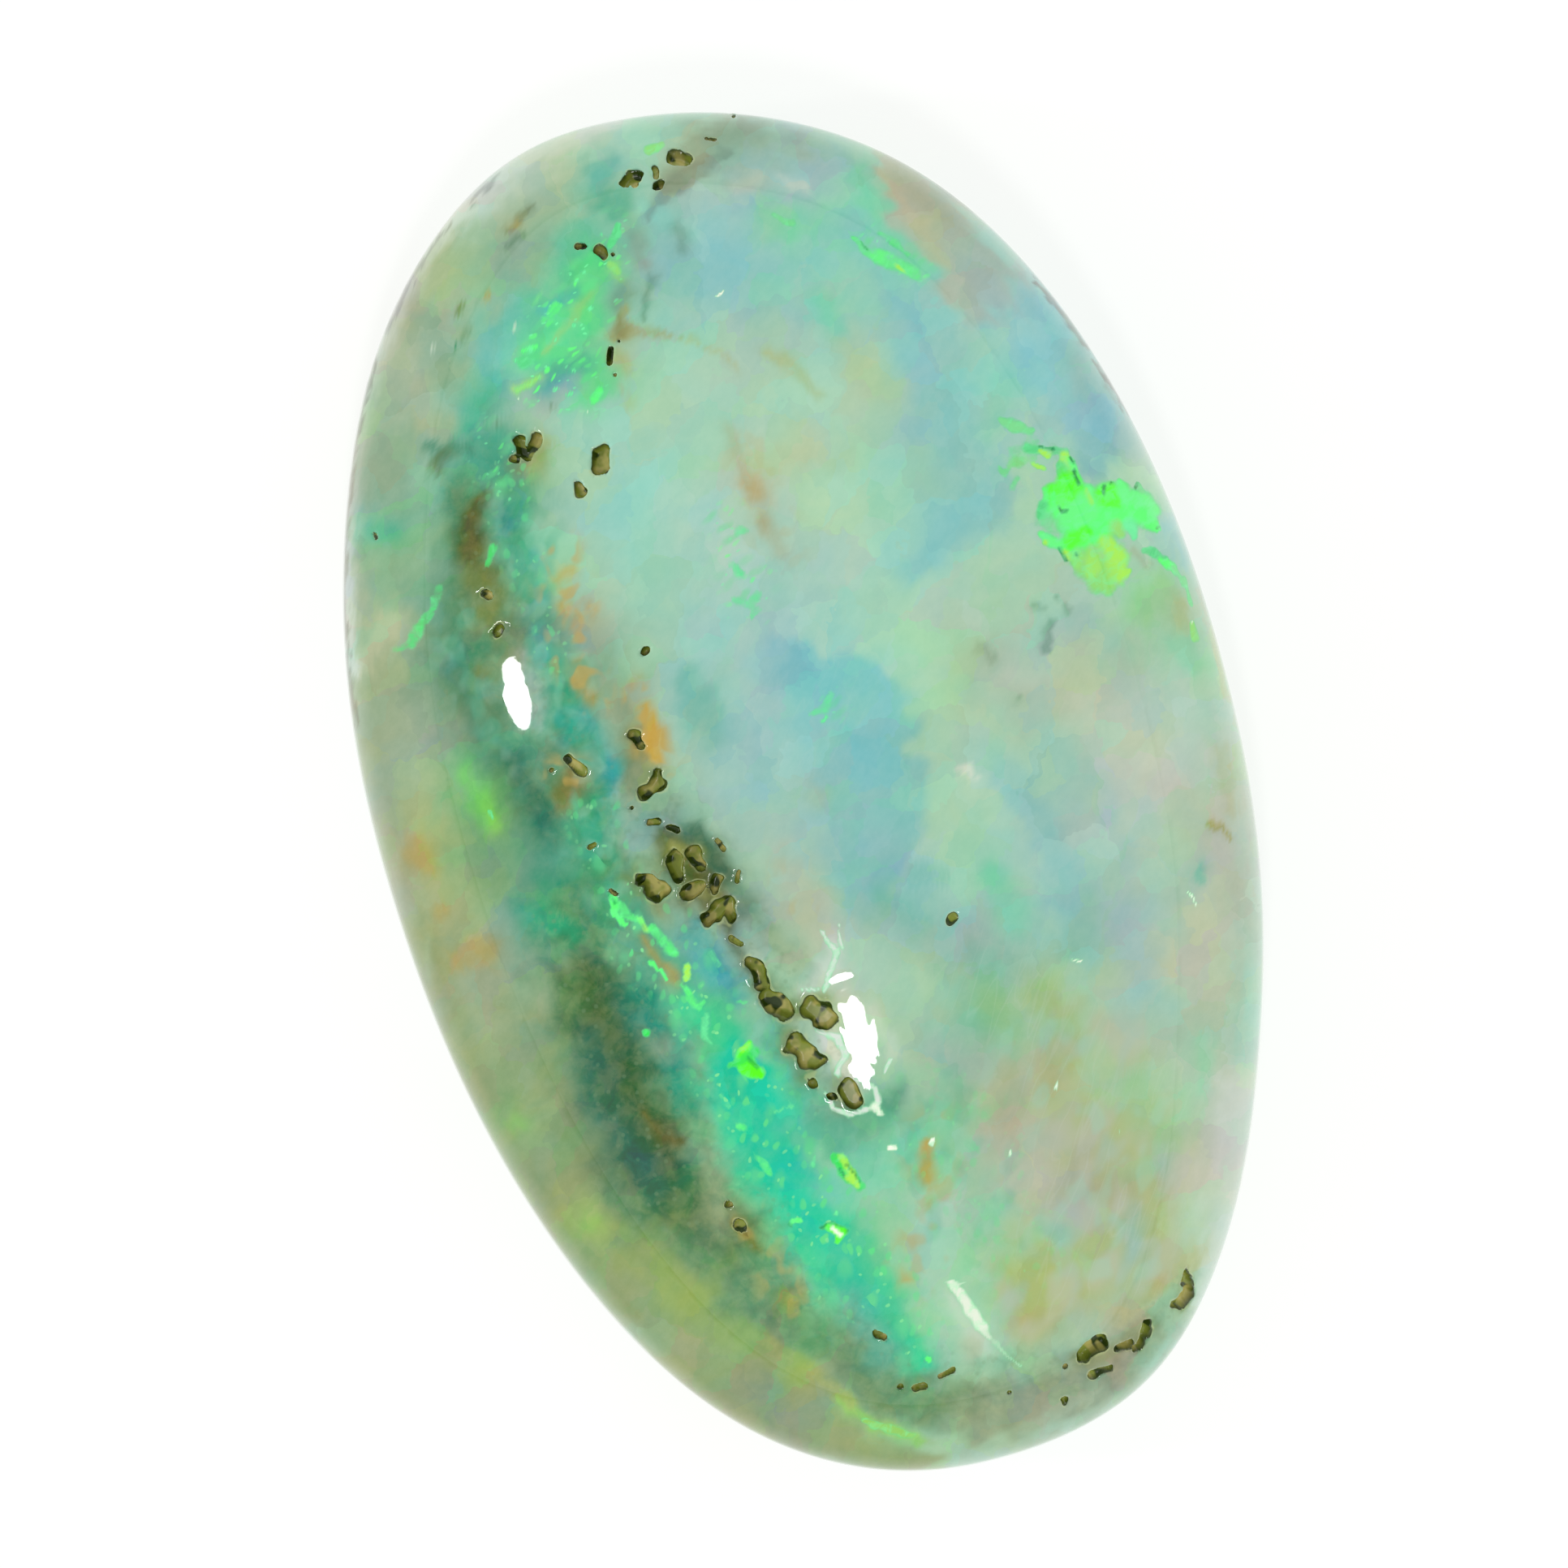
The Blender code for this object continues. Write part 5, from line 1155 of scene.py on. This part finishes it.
def plan_of(points, size):
    """Where each point lies seen from above, in millimetres. Below the girdle the plan is carried on
    outwards, so that the pattern goes on down the side."""
    plan = points[:, :2]
    below = np.clip(GIRDLE_SHARE * size.z - points[:, 2], 0, None)
    outward = plan / np.maximum(np.linalg.norm(plan, axis=1), 0.001)[:, None]
    return plan + outward * below[:, None]


def paint(mesh, points, normals, size):
    """Writes the colours and the amounts of the markings onto the mesh, and gives the pits' depths."""
    drift = noise_of(points, DRIFT_SCALE, 1)
    fray = noise_of(points, FRAY_SCALE, 2)
    crumb = noise_of(points, CRUMB_SCALE, 3)
    places = plan_of(points, size)
    write_plan(mesh, "plan", places)
    write_colour(mesh, "clouds", bare_colours(cloud_colours(places, drift, fray, crumb), normals))
    cover, colours = flash_layers(places, crumb)
    write_amount(mesh, "flash", cover)
    write_colour(mesh, "flash_ink", bare_colours(colours, normals))
    inside, floor = pit_layers(places, crumb)
    write_amount(mesh, "pit", inside)
    for name, trails in SPREADS.items():
        write_amount(mesh, name, spread(places, drift, fray, trails))
    return floor


def opal_stone(size):
    bm = stone_net(size)
    points = stone_points(np.array([v.co for v in bm.verts]), size)
    for vert, point in zip(bm.verts, points):
        vert.co = Vector(point) * MM
    bmesh.ops.recalc_face_normals(bm, faces=bm.faces[:])
    mesh = mesh_of(bm, "opal_stone")
    flat_normals = np.zeros(len(points) * 3, np.float32)
    mesh.vertex_normals.foreach_get("vector", flat_normals)
    normals = flat_normals.reshape(-1, 3)
    floor = paint(mesh, points, normals, size)
    sunk = points - normals * floor[:, None]
    mesh.vertices.foreach_set("co", (sunk * MM).ravel())
    mesh.shade_smooth()
    stone = linked("opal_stone", mesh)
    mesh.materials.append(opal_material())
    for x, y, wide, high, turn in LAMPS:
        away = np.hypot(points[:, 0] - x, points[:, 1] - y)
        nearest = np.argmin(away + FAR * (normals[:, 2] < 0.1))
        shine_at(points[nearest], normals[nearest], wide, high, turn)
    return stone


def shine_at(point, normal, wide, high, turn):
    """A lamp placed where a camera straight above sees it mirrored in the stone at the given point."""
    toward = Vector(2 * normal[2] * normal - np.array((0, 0, 1)))
    data = bpy.data.lights.new("lamp", "AREA")
    data.shape = "ELLIPSE"
    data.size = wide * MM
    data.size_y = high * MM
    data.energy = LAMP_BRIGHTNESS * math.pi * data.size * data.size_y
    lamp = linked("lamp", data)
    lamp.location = (Vector(point) + toward * LAMP_DISTANCE) * MM
    facing = toward.to_track_quat("Z", "Y") @ Quaternion((0, 0, 1), turn)
    lamp.rotation_euler = facing.to_euler()
    lamp.visible_camera = False


def put(tree, kind, inputs=None, **settings):
    """Adds a shader node, with its settings, and fills its inputs from values or sockets."""
    made = tree.nodes.new(kind)
    for name, value in settings.items():
        setattr(made, name, value)
    for name, value in (inputs or {}).items():
        if isinstance(value, bpy.types.NodeSocket):
            tree.links.new(value, made.inputs[name])
        else:
            made.inputs[name].default_value = value
    return made


def maths(tree, how, first, second, third=0.0):
    return put(tree, "ShaderNodeMath", {0: first, 1: second, 2: third}, operation=how).outputs[0]


def times(tree, first, second):
    return maths(tree, "MULTIPLY", first, second)


def ease(tree, value, low, high):
    """0 at the low value, 1 at the high one, and smooth between them."""
    made = put(tree, "ShaderNodeMapRange", {"Value": value, "From Min": low, "From Max": high},
               interpolation_type="SMOOTHSTEP")
    return made.outputs["Result"]


def lay(tree, share, under, over, how="MIX"):
    """One colour over another."""
    made = put(tree, "ShaderNodeMix", {0: share, 6: under, 7: over}, data_type="RGBA", blend_type=how)
    return made.outputs[2]


def ink_of(name):
    bare = bare_colours(linear(name)[None], np.array([[0, 0, 1.0]]))[0]
    return (*bare, 1)


def amount_of(tree, name):
    return put(tree, "ShaderNodeAttribute", attribute_name=name).outputs["Fac"]


def colour_of(tree, name):
    return put(tree, "ShaderNodeAttribute", attribute_name=name).outputs["Color"]


def noise_node(tree, place, scale, detail, rough, twist):
    return put(tree, "ShaderNodeTexNoise", {
        "Vector": place, "Scale": scale, "Detail": detail, "Roughness": rough, "Distortion": twist,
    }, noise_dimensions="2D")


def texture(tree, place, scale, detail=2.0, rough=0.5, twist=0.0):
    """Smooth noise from 0 to 1, with about as many bumps to a millimetre as the scale says."""
    return noise_node(tree, place, scale, detail, rough, twist).outputs["Fac"]


def bent(tree, place, reach, scale, detail, rough=0.5):
    """The place, moved by smooth noise, so that a pattern's edges come out uneven."""
    bend = noise_node(tree, place, scale, detail, rough, 0.0).outputs["Color"]
    moved = put(tree, "ShaderNodeVectorMath", {0: bend, 1: (reach, reach, 0), 2: place},
                operation="MULTIPLY_ADD")
    return moved.outputs[0]


def cells_of(tree, place, scale):
    return put(tree, "ShaderNodeTexVoronoi", {"Vector": place, "Scale": scale}, voronoi_dimensions="2D")


def turned(tree, place, angle, stretch, shift=0.0):
    """The place, with patterns drawn out along the given angle, and shifted to fresh noise."""
    return put(tree, "ShaderNodeMapping", {
        "Vector": place, "Location": (shift, shift, 0), "Rotation": (0, 0, angle), "Scale": (stretch, 1, 1),
    }, vector_type="TEXTURE").outputs[0]


def specks(tree, place, colour, amount, ink, pattern, low, high, strength):
    """Small scattered patches of an ink, where the amount allows them."""
    angle, stretch, shift, scale = pattern
    grain = texture(tree, turned(tree, place, angle, stretch, shift), scale, detail=1.2)
    share = times(tree, ease(tree, grain, low, high), amount)
    return lay(tree, times(tree, share, strength), colour, ink_of(ink))


def shaded(tree, colour, grain, share, low_tone, high_tone):
    """The colour, pushed towards one tone where the grain is low and another where it is high."""
    tone = lay(tree, ease(tree, grain, 0.30, 0.70), (*low_tone, 1), (*high_tone, 1))
    return lay(tree, share, colour, tone, "LINEAR_LIGHT")


def mottled(tree, place, colour, amounts):
    """The milky body's own mottling, from broad to fine, its fragments, and the coloured specks in it."""
    broad = texture(tree, place, 0.9, detail=3.0, rough=0.55, twist=0.4)
    colour = shaded(tree, colour, broad, 0.10, (0.40, 0.50, 0.56), (0.58, 0.52, 0.44))
    middle = texture(tree, turned(tree, place, 0.7, 1.4, 3.0), 2.0, detail=4.0, rough=0.6, twist=0.3)
    colour = shaded(tree, colour, middle, 0.10, (0.42, 0.46, 0.46), (0.56, 0.56, 0.53))
    fine = texture(tree, turned(tree, place, 0.7, 1.4, 6.0), 7.0, detail=3.0, rough=0.7)
    colour = shaded(tree, colour, fine, 0.07, (0.44, 0.45, 0.45), (0.56, 0.55, 0.53))
    uneven = bent(tree, place, 0.45, scale=2.5, detail=2.0, rough=0.6)
    for scale, share, shift in FRAGMENTS:
        parts = cells_of(tree, turned(tree, uneven, 0.9, 1.35, shift), scale)
        colour = lay(tree, share, colour, parts.outputs["Color"], "SOFT_LIGHT")
    for marking, ink, pattern, low, high, strength in SPECKS:
        colour = specks(tree, place, colour, amounts[marking], ink, pattern, low, high, strength)
    return colour


def fibrous(tree, place, colour, amount):
    """Fine pale threads that run slantwise through the stone."""
    threads = texture(tree, turned(tree, place, 0.95, 7.0, 2.0), 3.0)
    offset = maths(tree, "ABSOLUTE", maths(tree, "SUBTRACT", threads, 0.5), 0.0)
    share = times(tree, ease(tree, offset, 0.025, 0.0), amount)
    return lay(tree, times(tree, share, 0.09), colour, ink_of("rim"))


def sandy(tree, place, colour, amount):
    """Sand grains in the seam: lighter and darker spots, with dark gaps between them."""
    tone = texture(tree, place, 3.6, detail=3.0, rough=0.6, twist=0.3)
    toned = lay(tree, ease(tree, tone, 0.34, 0.66), (0.36, 0.40, 0.42, 1), (0.64, 0.62, 0.52, 1))
    colour = lay(tree, times(tree, amount, 0.10), colour, toned, "LINEAR_LIGHT")
    grains = cells_of(tree, place, 4.6)
    gaps = times(tree, ease(tree, grains.outputs["Distance"], 0.40, 0.85), amount)
    colour = lay(tree, times(tree, gaps, 0.25), colour, ink_of("dark"))
    spots = cells_of(tree, turned(tree, place, 0.0, 1.0, 6.0), 7.5)
    lot = put(tree, "ShaderNodeSeparateColor", {0: spots.outputs["Color"]}).outputs[1]
    picked = ease(tree, lot, 0.7, 0.8)
    dot = times(tree, ease(tree, spots.outputs["Distance"], 0.32, 0.12), picked)
    return lay(tree, times(tree, times(tree, dot, amount), 0.3), colour, ink_of("grey_green"))


def glittering(tree, place, colour, amount, ink, scale, angle, stretch, most, edge):
    """Small bright flecks, each at random, drawn out one way."""
    flecks = cells_of(tree, turned(tree, place, angle, stretch, scale), scale)
    lots = put(tree, "ShaderNodeSeparateColor", {0: flecks.outputs["Color"]}).outputs
    picked = ease(tree, lots[0], 1 - most, 1 - most * 0.8)
    close = ease(tree, flecks.outputs["Distance"], *edge)
    bright = maths(tree, "MULTIPLY_ADD", lots[1], 0.6, 0.4)
    fleck = times(tree, times(tree, picked, close), amount)
    return lay(tree, times(tree, fleck, bright), colour, ink_of(ink))


def flashing(tree, place, colour):
    """The flashes, with lacy edges, a soft glow round them, and paler parts."""
    flash = amount_of(tree, "flash")
    flash_ink = colour_of(tree, "flash_ink")
    ragged = texture(tree, place, 6.0, rough=0.6, twist=0.3)
    field = maths(tree, "ADD", flash, maths(tree, "MULTIPLY_ADD", ragged, 0.9, -0.45))
    glow = times(tree, ease(tree, field, 0.10, 0.30), ease(tree, flash, 0.2, 0.6))
    colour = lay(tree, times(tree, glow, 0.30), colour, flash_ink)
    tint = texture(tree, turned(tree, place, 0.4, 1.5, 8.0), 8.0, rough=0.6, twist=0.4)
    pale = times(tree, ease(tree, tint, 0.40, 0.70), 0.35)
    flash_ink = lay(tree, pale, flash_ink, ink_of("mint_flash"))
    share = times(tree, ease(tree, field, 0.05, 0.85), ease(tree, flash, 0.02, 0.25))
    return lay(tree, share, colour, flash_ink)


def pitted(tree, place, colour):
    """The pits: a pale lip here and there, a painted highlight on the rim; dark walls, painted as olive stain
    and as shade; and a floor of olive, amber and dark hollows. Also gives how far the stone is in a pit, for
    its roughness."""
    crumbs = texture(tree, place, 5.0, detail=1.5)
    field = maths(tree, "ADD", amount_of(tree, "pit"), maths(tree, "MULTIPLY_ADD", crumbs, 0.20, -0.10))
    # a painted highlight on the rim of some pits
    pit_rim_highlight = times(tree, ease(tree, field, 0.32, 0.44), ease(tree, crumbs, 0.42, 0.60))
    colour = lay(tree, times(tree, pit_rim_highlight, 0.35), colour, ink_of("pit_rim_highlight"))
    # the walls painted dark: olive stain, and painted shade
    colour = lay(tree, ease(tree, field, 0.46, 0.50), colour, ink_of("pit_stain_and_shade"))
    amber = texture(tree, turned(tree, place, 0.3, 1.0, 4.0), 3.5)
    floor = lay(tree, ease(tree, amber, 0.44, 0.60), ink_of("pit_olive"), ink_of("pit_amber"))
    hollow = texture(tree, turned(tree, place, 0.8, 1.0, 11.0), 4.5, detail=1.0)
    floor = lay(tree, ease(tree, hollow, 0.54, 0.64), floor, ink_of("pit_stain_and_shade"))
    colour = lay(tree, ease(tree, field, 0.48, 0.68), colour, floor)
    return colour, ease(tree, field, 0.48, 0.60)


def opal_material():
    material = bpy.data.materials.new("opal")
    material.use_nodes = True
    tree = material.node_tree
    shader = tree.nodes["Principled BSDF"]
    place = put(tree, "ShaderNodeAttribute", attribute_name="plan").outputs["Vector"]
    amounts = {name: amount_of(tree, name) for name in SPREADS}
    colour = mottled(tree, place, colour_of(tree, "clouds"), amounts)
    colour = fibrous(tree, place, colour, amounts["fibres"])
    colour = sandy(tree, place, colour, amounts["sand"])
    uneven = bent(tree, place, 0.12, scale=4.0, detail=1.0)
    for marking, ink, scale, angle, stretch, most, edge in GLITTERS:
        colour = glittering(tree, uneven, colour, amounts[marking], ink, scale, angle, stretch, most, edge)
    colour = flashing(tree, place, colour)
    colour, in_pit = pitted(tree, place, colour)
    tree.links.new(colour, shader.inputs["Base Color"])
    roughness = maths(tree, "MULTIPLY_ADD", in_pit, PIT_ROUGHNESS - POLISHED_ROUGHNESS, POLISHED_ROUGHNESS)
    tree.links.new(roughness, shader.inputs["Roughness"])
    swell = texture(tree, place, 1.7, detail=1.5, twist=0.4)
    depth = maths(tree, "MULTIPLY_ADD", amounts["uneven"], UNEVEN_DEPTH, POLISHED_DEPTH)
    bump = put(tree, "ShaderNodeBump", {"Height": times(tree, swell, depth), "Distance": MM, "Strength": 1.0})
    tree.links.new(bump.outputs[0], shader.inputs["Normal"])
    shader.inputs["IOR"].default_value = OPAL_IOR
    return material


def pale_floor():
    bm = bmesh.new()
    bmesh.ops.create_grid(bm, x_segments=1, y_segments=1, size=FLOOR_REACH)
    mesh = mesh_of(bm, "floor")
    floor = linked("floor", mesh)
    material = bpy.data.materials.new("floor_white")
    material.use_nodes = True
    shader = material.node_tree.nodes["Principled BSDF"]
    shader.inputs["Base Color"].default_value = (0.30, 0.30, 0.298, 1)
    shader.inputs["Roughness"].default_value = 0.9
    shader.inputs["Specular IOR Level"].default_value = 0.0
    shader.inputs["Emission Color"].default_value = (1, 1, 0.99, 1)
    shader.inputs["Emission Strength"].default_value = FLOOR_GLOW
    mesh.materials.append(material)


def soft_room():
    """Even light from all round, darker straight above, as under a ring of lamps."""
    world = bpy.data.worlds.new("room")
    world.use_nodes = True
    bpy.context.scene.world = world
    tree = world.node_tree
    direction = put(tree, "ShaderNodeTexCoord").outputs["Generated"]
    height = put(tree, "ShaderNodeSeparateXYZ", {0: direction}).outputs[2]
    strength = put(tree, "ShaderNodeMapRange", {
        "Value": height, "From Min": 0.0, "From Max": 1.0, "To Min": ROOM_LOW, "To Max": ROOM_HIGH})
    background = tree.nodes["Background"]
    background.inputs["Color"].default_value = (1, 1, 1, 1)
    tree.links.new(strength.outputs[0], background.inputs["Strength"])


def overhead_camera(size):
    data = bpy.data.cameras.new("camera")
    data.sensor_width = SENSOR_WIDTH
    data.lens = SENSOR_WIDTH * CAMERA_DISTANCE / FIELD_WIDTH
    data.clip_start = 0.01
    camera = linked("camera", data)
    girdle = GIRDLE_SHARE * size.z
    camera.location = Vector((AIM_ACROSS, AIM_ALONG, girdle + CAMERA_DISTANCE)) * MM
    camera.rotation_euler = (0, 0, -STONE_LEAN)
    bpy.context.scene.camera = camera


def main():
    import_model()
    lowest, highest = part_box("opal")
    size = (highest - lowest) / MM
    noise.seed_set(NOISE_SEED)
    stone = opal_stone(size)
    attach(stone, "root")
    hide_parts("opal")
    pale_floor()
    soft_room()
    overhead_camera(size)
    bpy.context.scene.view_settings.view_transform = "Standard"


main()
